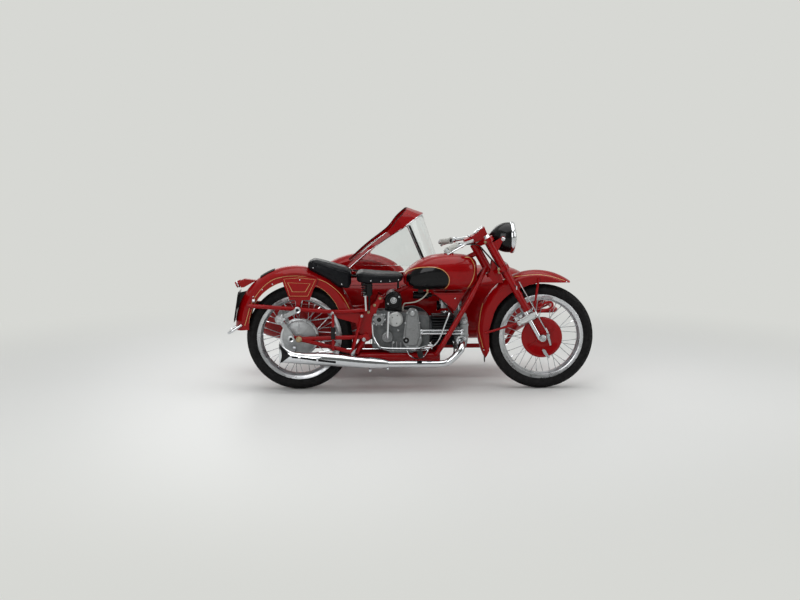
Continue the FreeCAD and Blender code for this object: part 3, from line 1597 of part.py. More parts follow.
tank_shares = [
    (0.0, 0.22, 0.18, 0.42),
    (0.09, 0.62, 0.02, 0.63),
    (0.33, 0.92, -0.04, 0.92),
    (0.65, 1.0, -0.04, 1.0),
    (0.88, 0.9, -0.02, 0.95),
    (1.0, 0.42, 0.25, 0.72),
]
tank_squareness = 2.7
saddle_squareness = 5.0
saddle_shares = [
    (0.0, 0.66, 0.1, 0.9),
    (0.1, 0.93, 0.0, 0.98),
    (0.45, 1.0, 0.0, 1.0),
    (0.8, 0.66, 0.04, 0.96),
    (1.0, 0.34, 0.12, 0.84),
]
saddle_spring_share = 0.75
feature("fuel_tank", fuel_tank())
feature("front_toolboxes", front_toolboxes())
feature("rear_toolboxes", rear_toolboxes())
feature("saddle", saddle())
feature("saddle_mount", saddle_mount())
feature("pillion_pad", pillion_pad())
feature("footrests", footrests())


# Tail

def number_plate():
    """Return the bare number plate with its bracket on the rear mudguard."""
    wall = s.plate_wall
    top_x = rear_axle_x - s.plate_top_behind
    low_x = rear_axle_x - s.plate_low_behind
    web = s.plate_half_width * plate_web_share
    sheet = prism([
        (top_x, s.plate_high), (top_x - wall, s.plate_high), (low_x - wall, s.plate_low), (low_x, s.plate_low),
    ], -s.plate_half_width, s.plate_half_width)
    bracket = prism([
        (top_x, s.plate_high - web), (low_x, s.plate_low + s.plate_half_width / 2),
        (rear_guard_x - s.rear_guard_radius * tail_bracket_share, s.plate_high),
    ], -web, web)
    return fused([sheet, bracket]).cut(guard_disc(0))


def tail_lamp():
    """Return the wedge-shaped tail lamp on the mudguard, with its round lens at the rear."""
    rear_x = rear_axle_x - s.tail_lamp_behind
    outline = []
    for length_share, height_share in tail_lamp_shares:
        outline.append((rear_x + s.tail_lamp_length * length_share,
                        s.tail_lamp_low + s.tail_lamp_height * height_share))
    housing = prism(outline, -s.tail_lamp_half_width, s.tail_lamp_half_width)
    root = Vector(rear_x, 0, s.tail_lamp_low + s.tail_lamp_height / 2)
    lens_axis = Vector(-s.tail_lamp_radius, 0, -s.tail_lamp_radius / 2)
    lens = Part.makeCylinder(float(s.tail_lamp_radius), float(s.tail_lamp_radius * 2),
                             root - lens_axis / 2, lens_axis)
    return fused([housing, lens]).cut(guard_disc(0)).cut(number_plate())


def tail_loop():
    """Return the bent bumper tube round the mudguard's tail."""
    y = s.rear_guard_half_width + s.loop_radius
    foot_x = rear_guard_x - s.rear_guard_radius + s.rear_guard_skirt / 2
    foot_z = s.loop_z + s.loop_radius * loop_rise_share
    points = [(foot_x, -y, foot_z), (loop_x, -y, s.loop_z), (loop_x, y, s.loop_z), (foot_x, y, foot_z)]
    return tube(points, s.loop_radius, s.loop_radius * 3)


tail_bracket_share = 0.8
plate_web_share = 0.125
loop_rise_share = 6.0
tail_lamp_shares = [(0.0, 0.78), (0.26, 1.0), (1.0, 0.83), (0.74, 0.6), (0.25, 0.04), (0.05, 0.0)]
feature("number_plate", number_plate())
feature("tail_lamp", tail_lamp())
feature("tail_loop", tail_loop())


# Sidecar

def tub_stations(inset):
    """Return the tub's sections, drawn in by a wall's thickness on every side."""
    length = s.sidecar_nose_x - s.sidecar_tail_x
    height = s.sidecar_cowl_z - s.sidecar_floor_z
    stations = []
    for share, half_share, low_share, high_share in tub_shares:
        x = s.sidecar_tail_x + length * share
        half = s.sidecar_half_width * half_share - inset
        low = s.sidecar_floor_z + height * low_share + inset
        high = s.sidecar_floor_z + height * high_share - inset
        stations.append((x, s.sidecar_y, half, low, high))
    return stations


def tub_outer():
    """Return the tub's full outer shape."""
    return hull(tub_stations(0), tub_squareness)


def sidecar_body():
    """Return the hollow tub with its cockpit cut out."""
    inner = hull(tub_stations(s.sidecar_wall)[1:-1], tub_squareness)
    half = s.cockpit_half_width
    opening = Part.makeBox(
        s.cockpit_front_x - s.cockpit_rear_x, 2 * half, s.sidecar_cowl_z,
        Vector(s.cockpit_rear_x, s.sidecar_y - half, (s.sidecar_floor_z + s.sidecar_cowl_z) / 2))
    opening = opening.makeFillet(float(half * cockpit_round_share), upright_edges(opening))
    return tub_outer().cut(inner).cut(opening)


def tub_inside():
    """Return the room inside the tub's walls."""
    return hull(tub_stations(s.sidecar_wall + s.soft_gap)[1:-1], tub_squareness)


def sidecar_seat():
    """Return the cushion and the backrest inside the tub."""
    half = s.cockpit_half_width
    y = s.sidecar_y
    cushion = Part.makeBox(
        s.seat_length, 2 * half, s.seat_cushion_high - s.sidecar_floor_z,
        Vector(s.seat_rear_x + s.seat_back_depth + s.soft_gap, y - half, s.sidecar_floor_z))
    back = Part.makeBox(
        s.seat_back_depth, 2 * half, s.seat_back_high - s.sidecar_floor_z,
        Vector(s.seat_rear_x, y - half, s.sidecar_floor_z))
    return [shape.common(tub_inside()) for shape in (cushion, back)]


def screen_stations():
    """Return the windscreen's base, lower edge and upper edge from near rear to far rear."""
    base, lower, upper = [], [], []
    for share_x, half_share, base_z, low_z, high_x, high_z in screen_shares:
        x = s.screen_arm_rear_x + (s.screen_top_front_x - s.screen_arm_rear_x) * share_x
        rise = s.screen_top_z - s.screen_arm_rear_z
        half = s.screen_half_width * half_share
        base_x = s.screen_arm_rear_x + (s.screen_base_x - s.screen_arm_rear_x) * share_x
        top_x = s.screen_arm_rear_x + (s.screen_top_front_x - s.screen_arm_rear_x) * high_x
        base.append((base_x, half, s.screen_arm_rear_z + rise * base_z))
        lower.append((x, half, s.screen_arm_rear_z + rise * low_z))
        upper.append((top_x, half * hood_narrow_share, s.screen_arm_rear_z + rise * high_z))
    rows = []
    for row in (base, lower, upper):
        near = [Vector(float(x), float(s.sidecar_y - half), float(z)) for x, half, z in row]
        far = [Vector(point.x, float(2 * s.sidecar_y) - point.y, point.z) for point in near[-2::-1]]
        rows.append(near + far)
    return rows


def strip(first_edge, second_edge, wall):
    """Return a thin sheet between two edges, as a loft of narrow four-sided sections."""
    sections = []
    count = len(first_edge)
    for index in range(count):
        before = max(index - 1, 0)
        after = min(index + 1, count - 1)
        along = (first_edge[after] + second_edge[after]) - (first_edge[before] + second_edge[before])
        across = second_edge[index] - first_edge[index]
        outward = along.cross(across).normalize() * float(wall)
        start, end = first_edge[index], second_edge[index]
        corners = [start, end, end + outward, start + outward]
        sections.append(Part.makePolygon(corners + corners[:1]))
    return Part.makeLoft(sections, True, True)


def screen_hood():
    """Return the painted hood with its arms."""
    _, lower, upper = screen_stations()
    return strip(lower, upper, s.screen_glass_wall)


def screen_glass():
    """Return the clear sheet between the cowl and the hood."""
    base, lower, _ = screen_stations()
    lowered = [point - Vector(0, 0, float(s.soft_gap)) for point in lower]
    sheet = strip(base, lowered, s.screen_glass_wall)
    return sheet.cut(tub_outer()).cut(screen_hood())


def chassis():
    """Return the sidecar's tubular chassis with its front loop and stub axle."""
    radius = s.chassis_radius
    z = s.chassis_z
    near = s.chassis_near_y
    far = s.chassis_far_y
    front_loop = tube([
        (s.chassis_rear_x, near, z), (s.chassis_bend_x, near, z),
        (s.bumper_rear_x, near, s.bumper_z), (s.bumper_front_x, near, s.bumper_z),
        (s.bumper_front_x, far, s.bumper_z), (s.bumper_rear_x, far, s.bumper_z),
        (s.chassis_bend_x, far, z), (s.chassis_rear_x, far, z),
    ], s.bumper_radius, s.bumper_radius * 5)
    upright_y = s.upright_y
    rails = [
        bar((s.cross_front_x, s.spring_box_half_width, z), (s.cross_front_x, far, z), radius),
        bar((s.sidecar_wheel_x, s.spring_box_half_width, z), (s.sidecar_wheel_x, upright_y, z), radius),
        bar((s.chassis_rear_x, near, z), (s.chassis_rear_x, far, z), s.bumper_radius),
        Part.makeBox(2 * radius, s.upright_wall, axle_z - z,
                     Vector(s.sidecar_wheel_x - radius, upright_y - s.upright_wall / 2, z)),
        disc(s.sidecar_wheel_x, upright_y, axle_z, radius, s.upright_wall),
        disc(s.sidecar_wheel_x, upright_y, z, radius, s.upright_wall),
    ]
    axle_end = s.sidecar_wheel_y + s.hub_half_length + s.axle_nut_width
    axle = bar((s.sidecar_wheel_x, upright_y, axle_z), (s.sidecar_wheel_x, axle_end, axle_z),
               s.axle_radius)
    nut = bar((s.sidecar_wheel_x, axle_end - s.axle_nut_width + s.side_gap / 5, axle_z),
              (s.sidecar_wheel_x, axle_end, axle_z), s.axle_nut_radius)
    whole = fused([front_loop, axle, nut] + rails)
    return whole.cut(tub_outer()).cut(spring_box())


def struts():
    """Return the upper struts between the motorcycle and the sidecar's chassis."""
    z = s.chassis_z + s.bumper_radius
    near = s.chassis_near_y
    knee = down_tube_points()[1]
    front = bar((knee[0], -knee[1], knee[2]), (s.strut_front_foot_x, near, z), s.strut_radius)
    rear = bar((s.strut_rear_x, s.rail_y, s.rail_knee_z), (s.strut_rear_foot_x, near, z), s.strut_radius)
    parts = Part.makeCompound([front, rear])
    return parts.cut(head_and_down_tubes()).cut(rear_frame()).cut(chassis()).cut(tub_outer())


def sidecar_guard_stays():
    """Return the brackets between the tub's flank and the sidecar's mudguard."""
    stays = []
    inner_y = s.sidecar_wheel_y - s.sidecar_guard_half_width
    reach = s.sidecar_guard_radius - s.sidecar_guard_skirt / 2
    for angle in sidecar_stay_angles:
        x = s.sidecar_wheel_x + reach * math.cos(math.radians(angle))
        z = axle_z + reach * math.sin(math.radians(angle))
        root = s.sidecar_y + s.sidecar_half_width * stay_root_share
        stays.append(bar((x, root, z), (x, inner_y, z), s.strut_radius))
    return Part.makeCompound(stays).cut(tub_outer())


tub_squareness = 3.0
tub_shares = [
    (0.0, 0.2, 0.2, 0.36),
    (0.03, 0.5, 0.07, 0.5),
    (0.09, 0.74, 0.01, 0.66),
    (0.2, 0.92, 0.0, 0.88),
    (0.34, 1.0, 0.0, 0.96),
    (0.62, 0.99, 0.0, 0.98),
    (0.78, 0.9, 0.01, 1.0),
    (0.87, 0.72, 0.04, 0.99),
    (0.93, 0.5, 0.14, 0.9),
    (0.98, 0.27, 0.3, 0.7),
    (1.0, 0.1, 0.4, 0.52),
]
cockpit_round_share = 0.55
hood_narrow_share = 0.97
screen_shares = [
    (0.0, 1.24, -0.1, 0.03, -0.022, 0.062),
    (0.258, 1.22, -0.1, 0.318, 0.232, 0.352),
    (0.545, 1.16, -0.1, 0.565, 0.505, 0.625),
    (0.711, 1.1, -0.1, 0.693, 0.64, 0.835),
    (0.869, 0.93, -0.1, 0.839, 0.725, 0.945),
    (0.94, 0.7, -0.1, 0.888, 0.755, 0.985),
    (0.98, 0.36, -0.1, 0.905, 0.77, 1.0),
    (0.99, 0.0, -0.1, 0.909, 0.7725, 1.004),
]
stay_root_share = 0.85
sidecar_stay_angles = [40, 145]
feature("sidecar_body", sidecar_body())
cushion_shape, back_shape = sidecar_seat()
feature("sidecar_cushion", cushion_shape)
feature("sidecar_backrest", back_shape)
feature("screen_hood", screen_hood())
feature("screen_glass", screen_glass())
feature("sidecar_chassis", chassis())
feature("sidecar_struts", struts())
feature("sidecar_guard_stays", sidecar_guard_stays())


# Check and export every sub-part

document.recompute()
for part in document.Objects:
    if {"Invalid", "Error"} & set(part.State):
        raise ValueError(f"{part.Label} could not be computed")
for part in sub_parts:
    if part.Shape.isNull() or not part.Shape.isValid():
        raise ValueError(f"{part.Label} has no valid shape")

os.makedirs("parts", exist_ok=True)
for part in sub_parts:
    part.Shape.exportStep(f"parts/{part.Label}.step")
    print(part.Label, len(part.Shape.Solids), "solids", round(part.Shape.Volume))
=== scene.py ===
"""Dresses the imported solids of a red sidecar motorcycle.

Inside the classes a length is in millimetres on the motorcycle's own axes: x
forward from midway between its axles, y left from its middle plane, z up from
the ground. Shape.piece turns them into metres in the frame's own axes.
"""

import json
import logging
import math
from collections.abc import Sequence
from dataclasses import dataclass, field
from enum import Enum

import bmesh
import bpy
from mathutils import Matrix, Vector
from mathutils.bvhtree import BVHTree


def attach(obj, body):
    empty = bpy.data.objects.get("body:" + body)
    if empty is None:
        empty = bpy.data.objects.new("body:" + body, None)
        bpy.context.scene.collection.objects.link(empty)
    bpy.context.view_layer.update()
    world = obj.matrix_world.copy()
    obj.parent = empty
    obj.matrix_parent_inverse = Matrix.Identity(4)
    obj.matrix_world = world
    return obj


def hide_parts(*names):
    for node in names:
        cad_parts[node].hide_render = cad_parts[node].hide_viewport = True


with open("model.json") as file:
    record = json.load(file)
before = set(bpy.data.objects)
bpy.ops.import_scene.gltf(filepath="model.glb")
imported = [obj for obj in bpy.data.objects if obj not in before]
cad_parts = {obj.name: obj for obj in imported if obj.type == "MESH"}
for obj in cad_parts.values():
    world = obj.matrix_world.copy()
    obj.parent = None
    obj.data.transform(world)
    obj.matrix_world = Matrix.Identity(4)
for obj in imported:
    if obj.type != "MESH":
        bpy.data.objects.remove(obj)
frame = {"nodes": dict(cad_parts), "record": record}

MADE_LOG = logging.getLogger("sidecar_motorcycle")
METRES = 0.001
SAME_POINT = 0.02
MIDDLE = Vector((-57.25, 370.0, 0.0))
UP = Vector((0.0, 0.0, 1.0))
AHEAD = Vector((1.0, 0.0, 0.0))
LEFT = Vector((0.0, 1.0, 0.0))
TURN = 2 * math.pi
Ring = list[Vector]
Pair = tuple[float, float]
Triple = tuple[float, float, float]
Station = tuple[float, float, float, float]
Met = tuple[Vector, Vector]
Tree = bpy.types.NodeTree
Node = bpy.types.Node
Socket = bpy.types.NodeSocket


class Body(Enum):
    """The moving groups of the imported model."""

    FRAME = "frame"
    STEERING = "steering"
    FRONT_WHEEL = "front_wheel"
    REAR_WHEEL = "rear_wheel"
    SIDECAR_WHEEL = "sidecar_wheel"


class Slot(Enum):
    """The record's material slots."""

    RED = "red_enamel"
    BLACK = "black_enamel"
    CHROME = "chrome"
    ALLOY = "alloy"
    STEEL = "steel"
    IRON = "cast_iron"
    TYRE = "tyre_rubber"
    RUBBER = "rubber"
    LEATHER = "leather"
    SCREEN = "clear_screen"
    LAMP = "lamp_glass"


# Finishes

def linear(hex_colour: str) -> tuple[float, float, float, float]:
    """Turn an sRGB hex colour into a linear one.

    Args:
        hex_colour: Six hex digits, such as "8c1218".

    Returns:
        Red, green, blue and an alpha of one.
    """
    shares = [int(hex_colour[place:place + 2], 16) / 255 for place in (0, 2, 4)]
    knee, slope, offset, power = 0.04045, 12.92, 0.055, 2.4
    red, green, blue = (
        share / slope if share <= knee else ((share + offset) / (1 + offset)) ** power
        for share in shares
    )
    return (red, green, blue, 1.0)


def add_node(tree: Tree, kind: str, settings: dict, links: dict) -> Node:
    """Add a shader node.

    Args:
        tree: The tree that the node goes into.
        kind: The node's type name.
        settings: Values by attribute name, or by input name or number.
        links: Output sockets by the name or number of the input that they feed.

    Returns:
        The new node.
    """
    node = tree.nodes.new(kind)
    for name, value in settings.items():
        if isinstance(name, int) or name in node.inputs:
            node.inputs[name].default_value = value
        else:
            setattr(node, name, value)
    for name, socket in links.items():
        tree.links.new(socket, node.inputs[name])
    return node


def per_metre(size_mm: float) -> float:
    """Return a texture's scale for a pattern of that size, on coordinates in metres."""
    return 1 / (size_mm * METRES)


@dataclass(frozen=True)
class Finish:
    """A surface: what it is made of, how it was worked, and the record's slot that it belongs to."""

    title: str
    slot: Slot
    colour: str
    shade: str
    roughness: float = 0.5
    metallic: float = 0.0
    patch_mm: float = 60.0
    grain_mm: float = 1.0
    grain_depth_mm: float = 0.02
    specular: float = 0.5

    def material(self) -> bpy.types.Material:
        """Return this finish's material, made once."""
        return bpy.data.materials.get(self.title) or self._made()

    def _made(self) -> bpy.types.Material:
        """Build the material from its base, its patches and its own pattern.

        Returns:
            The new material.
        """
        material = bpy.data.materials.new(self.title)
        material.use_nodes = True
        tree = material.node_tree
        shader = tree.nodes["Principled BSDF"]
        shader.inputs["Metallic"].default_value = self.metallic
        shader.inputs["Specular IOR Level"].default_value = self.specular
        place = add_node(tree, "ShaderNodeTexCoord", {}, {}).outputs["Object"]
        self.colour_patches(tree, shader, place)
        self.roughness_patches(tree, shader, place)
        self.grain(tree, shader, place)
        return material

    def colour_patches(self, tree: Tree, shader: Node, place: Socket) -> None:
        """Vary the colour slowly between the finish's two colours.

        Args:
            tree: The material's nodes.
            shader: The node that takes the pattern.
            place: Coordinates in metres.
        """
        cloud = add_node(
            tree, "ShaderNodeTexNoise", {"Scale": per_metre(self.patch_mm), "Detail": 5.0}, {"Vector": place},
        )
        mix = add_node(
            tree, "ShaderNodeMix",
            {"data_type": "RGBA", 6: linear(self.colour), 7: linear(self.shade)},
            {0: cloud.outputs[0]},
        )
        tree.links.new(mix.outputs[2], shader.inputs["Base Color"])

    def roughness_patches(self, tree: Tree, shader: Node, place: Socket) -> None:
        """Vary the roughness a little, as handling and dust do.

        Args:
            tree: The material's nodes.
            shader: The node that takes the pattern.
            place: Coordinates in metres.
        """
        cloud = add_node(
            tree, "ShaderNodeTexNoise", {"Scale": per_metre(self.patch_mm / 2), "Detail": 6.0}, {"Vector": place},
        )
        span = add_node(
            tree, "ShaderNodeMapRange",
            {
                "From Min": 0.3, "From Max": 0.7, "To Min": self.roughness * 0.75,
                "To Max": min(1.0, self.roughness * 1.3),
            },
            {"Value": cloud.outputs[0]},
        )
        tree.links.new(span.outputs[0], shader.inputs["Roughness"])

    def grain(self, tree: Tree, shader: Node, place: Socket) -> None:
        """Raise the surface's own fine grain.

        Args:
            tree: The material's nodes.
            shader: The node that takes the pattern.
            place: Coordinates in metres.
        """
        cloud = add_node(
            tree, "ShaderNodeTexNoise", {"Scale": per_metre(self.grain_mm), "Detail": 3.0}, {"Vector": place},
        )
        self.raised(tree, shader, cloud.outputs[0])

    def raised(self, tree: Tree, shader: Node, height: Socket) -> None:
        """Turn a height pattern into the shader's bump.

        Args:
            tree: The material's nodes.
            shader: The node that takes the bump.
            height: The pattern, from zero to one.
        """
        bump = add_node(
            tree, "ShaderNodeBump",
            {"Strength": 1.0, "Distance": self.grain_depth_mm * METRES},
            {"Height": height},
        )
        tree.links.new(bump.outputs[0], shader.inputs["Normal"])


@dataclass(frozen=True)
class Enamel(Finish):
    """Stoving enamel, sprayed on steel: a deep colour under a glassy skin with faint orange peel."""

    coat: float = 1.0
    coat_roughness: float = 0.04

    def _made(self) -> bpy.types.Material:
        """Add the clear skin over the colour.

        Returns:
            The new material.
        """
        material = super()._made()
        shader = material.node_tree.nodes["Principled BSDF"]
        shader.inputs["Coat Weight"].default_value = self.coat
        shader.inputs["Coat Roughness"].default_value = self.coat_roughness
        return material


@dataclass(frozen=True)
class Leather(Finish):
    """Dyed hide: pebbled grain, wrinkles, and a duller bloom where it is rubbed."""

    wrinkle_mm: float = 22.0
    wrinkle_share: float = 2.5

    def grain(self, tree: Tree, shader: Node, place: Socket) -> None:
        """Raise pebbles and pull them along by soft wrinkles.

        Args:
            tree: The material's nodes.
            shader: The node that takes the pattern.
            place: Coordinates in metres.
        """
        pebbles = add_node(
            tree, "ShaderNodeTexVoronoi",
            {"feature": "SMOOTH_F1", "Scale": per_metre(self.grain_mm)},
            {"Vector": place},
        )
        folds = add_node(
            tree, "ShaderNodeTexNoise", {"Scale": per_metre(self.wrinkle_mm), "Detail": 4.0}, {"Vector": place},
        )
        both = add_node(
            tree, "ShaderNodeMath",
            {"operation": "MULTIPLY_ADD", 1: self.wrinkle_share},
            {0: folds.outputs[0], 2: pebbles.outputs["Distance"]},
        )
        self.raised(tree, shader, both.outputs[0])


@dataclass(frozen=True)
class Clear(Finish):
    """A clear sheet or lens that lets the light through."""

    ior: float = 1.49

    def _made(self) -> bpy.types.Material:
        """Let the light pass, with a trace of haze.

        Returns:
            The new material.
        """
        material = super()._made()
        shader = material.node_tree.nodes["Principled BSDF"]
        shader.inputs["Transmission Weight"].default_value = 1.0
        shader.inputs["IOR"].default_value = self.ior
        return material


# The frame's paint: a deep blood red that lifts to a clear red under light.
RED = Enamel(
    "red_stoving_enamel", Slot.RED, "960207", "800105", 0.4,
    patch_mm=180, grain_mm=3.5, grain_depth_mm=0.003, specular=0.05, coat=0.4,
)
# Black paint of the same kind, which shows as dark glass with a soft light along its edges.
BLACK = Enamel(
    "black_stoving_enamel", Slot.BLACK, "060608", "09090b", 0.3,
    patch_mm=120, grain_mm=3.5, grain_depth_mm=0.003, specular=0.1, coat=0.3,
)
# Lining paint drawn with a brush: a warm straw gold that stands out on red and black.
GOLD_LINE = Enamel(
    "gold_coach_line", Slot.RED, "cfa365", "bd8f4f", 0.4,
    patch_mm=15, grain_mm=1.5, grain_depth_mm=0.01, coat=0.6,
)
# Bright chromium plating on polished steel, with faint wiping marks.
CHROME = Finish("bright_chromium_plate", Slot.CHROME, "dcdee0", "c9ccd0", 0.08, 1.0, 40, 4, 0.004)
# Sand-cast aluminium: grey, pebbled by the mould, stained in places by oil.
ALLOY = Finish("sand_cast_aluminium", Slot.ALLOY, "b4b6b7", "9a9c9e", 0.46, 0.9, 34, 2.4, 0.05)
# The crankcase, in a darker copy of the cast alloy, so that its covers stand out before it.
DARK_ALLOY = Finish(
    "darker_cast_aluminium", Slot.ALLOY, "6e7071", "4f5152", 0.5, 0.9, 30, 2.4, 0.06,
)
# Covers that are wiped clean: between the dark case and the bright round one.
CAST_COVER = Finish("scrubbed_cast_cover", Slot.ALLOY, "98999a", "7f8182", 0.42, 0.9, 20, 1.2, 0.03)
# Covers and links with a satin face, the palest metal on the bike.
PALE_ALLOY = Finish("satin_cleaned_aluminium", Slot.ALLOY, "c9cac9", "b3b5b5", 0.38, 0.85, 24, 1.0, 0.02)
# Rims and hubs: a soft mirror with a broad, even shine.
POLISHED = Finish("polished_aluminium", Slot.STEEL, "d2d4d6", "c6c8cb", 0.3, 1.0, 60, 4.0, 0.002)
# The barrel's and the flywheel's bare iron: dark, dry and coarse beside the alloy head.
IRON = Finish("grey_cast_iron", Slot.IRON, "4a4c4f", "343537", 0.52, 0.8, 18, 1.8, 0.06)
# Spokes and chain: thin bright threads that don't flare like chrome.
STEEL = Finish("drawn_steel_wire", Slot.STEEL, "b4b6b9", "a2a5a9", 0.3, 1.0, 20, 3.0, 0.002)
# Nuts, screws and caps fresh from the lathe, which pick the engine's joints out in points of light.
BRIGHT_STEEL = Finish("machined_bright_steel", Slot.STEEL, "c4c6c8", "a9acaf", 0.26, 1.0, 14, 0.8, 0.008)
# Plated fasteners, whose warm yellowish tone sets them off from the chrome.
CADMIUM = Finish("cadmium_plated_steel", Slot.STEEL, "b7a684", "94866b", 0.32, 1.0, 9, 1.0, 0.01)
# Tyre rubber: soot black and dull, a trace browner in patches.
TYRE = Finish("vulcanised_tyre_rubber", Slot.TYRE, "0b0b0c", "131212", 0.74, 0.0, 35, 1.4, 0.04, 0.22)
# Flaps, cables and bushes: a flat black without a shine.
RUBBER = Finish("moulded_black_rubber", Slot.RUBBER, "0d0d0e", "151516", 0.6, 0.0, 14, 1.0, 0.03, 0.3)
# The grips' rubber, worn pale by hands.
PALE_RUBBER = Finish("pale_grey_grip_rubber", Slot.RUBBER, "b9b9b4", "a6a6a1", 0.62, 0.0, 16, 1.0, 0.03)
# The fuel pipe, clouded and yellowed with age.
PALE_HOSE = Finish("cloudy_fuel_hose", Slot.RUBBER, "b3aea4", "9d978c", 0.4, 0.0, 12, 1.0, 0.01)
# The seats' black hide, whose pebbles and folds break the light up into a dull sheen.
LEATHER = Leather("black_dyed_leather", Slot.LEATHER, "0c0d10", "131418", 0.42, 0.0, 45, 2.4, 0.09, 0.14)
# The screen's sheet: almost nothing but a glint along its bend.
SCREEN = Clear("clear_acrylic_sheet", Slot.SCREEN, "fbfcfc", "f7f9f9", 0.02, 0.0, 90, 8, 0.0005, ior=1.3)
# Pressed glass, whose flutes split the reflector behind it into strips.
LAMP_GLASS = Clear("pressed_lamp_glass", Slot.LAMP, "f8f9f9", "f2f4f4", 0.04, 0.0, 30, 6, 0.002, ior=1.52)
# The tail lamp's lens, a clearer and lighter red than the paint.
RED_LENS = Clear("red_lamp_lens", Slot.LAMP, "b30d12", "9c0a0e", 0.12, 0.0, 10, 2, 0.02)

NODE_FINISH = {
    finish.slot.value: finish
    for finish in (RED, BLACK, CHROME, ALLOY, STEEL, IRON, TYRE, RUBBER, LEATHER, SCREEN, LAMP_GLASS)
}
# Nodes whose finish isn't the common one of their slot.
OWN_FINISH = {
    "crankcase": DARK_ALLOY, "timing_cover": CAST_COVER, "carburettor": CAST_COVER,
    "flywheel": IRON, "number_plate": BLACK,
}


# Shapes

def at(x: float, y: float, z: float) -> Vector:
    """Return a point, or a way, from its three coordinates."""
    return Vector((x, y, z))


def swung(radius: float, angle: float, y: float = 0.0) -> Vector:
    """Return a way from its length and its angle up from straight ahead, moved left by y."""
    return at(radius * math.cos(angle), y, radius * math.sin(angle))


def turns(steps: int) -> list[float]:
    """Return the angles of a full turn's equal steps."""
    return [TURN * step / steps for step in range(steps)]


def square_pair(axis: Vector) -> tuple[Vector, Vector]:
    """Find two directions square to an axis and to each other.

    Args:
        axis: A unit vector.

    Returns:
        Two unit vectors.
    """
    other = UP if abs(axis.dot(UP)) < 0.9 else AHEAD
    first = axis.cross(other).normalized()
    return first, axis.cross(first).normalized()


def eased(corners: list[Vector], step: float, closed: bool = False) -> list[Vector]:
    """Run a smooth line through points.

    Args:
        corners: The points that the line passes through.
        step: The rough length between the points that are returned.
        closed: Whether the line joins its own start.

    Returns:
        Points along the line.
    """
    count = len(corners)
    runs = count if closed else count - 1
    line = []
    for index in range(runs):
        if closed:
            before, start, end, after = (corners[(index + shift) % count] for shift in (-1, 0, 1, 2))
        else:
            start, end = corners[index], corners[index + 1]
            before = corners[index - 1] if index else start * 2 - end
            after = corners[index + 2] if index + 2 < count else end * 2 - start
        parts = max(1, round((end - start).length / step))
        for part in range(parts):
            t = part / parts
            line.append(
                0.5 * (
                    start * 2
                    + (end - before) * t
                    + (before * 2 - start * 5 + end * 4 - after) * t * t
                    + (start * 3 - before - end * 3 + after) * t * t * t
                )
            )
    if not closed:
        line.append(corners[-1].copy())
    return line


def bulged(share: float, power: float) -> float:
    """Return a share of one with its size raised to a power and its sign kept."""
    return math.copysign(abs(share) ** power, share)


def points_of(y: float, *pairs: Pair) -> list[Vector]:
    """Return points of a plane that stands along the bike, from their x and z."""
    return [at(x, y, z) for x, z in pairs]


def places(*triples: Triple) -> list[Vector]:
    """Return points from their coordinates."""
    return [at(*triple) for triple in triples]


def circle(centre: Vector, axis: Vector, radius: float, sides: int) -> Ring:
    """Draw a circle.

    Args:
        centre: Its centre.
        axis: The way that it faces.
        radius: Its radius.
        sides: How many points it has.

    Returns:
        Its points.
    """
    first, second = square_pair(axis)
    return [
        centre + first * (radius * math.cos(angle)) + second * (radius * math.sin(angle))
        for angle in turns(sides)
    ]


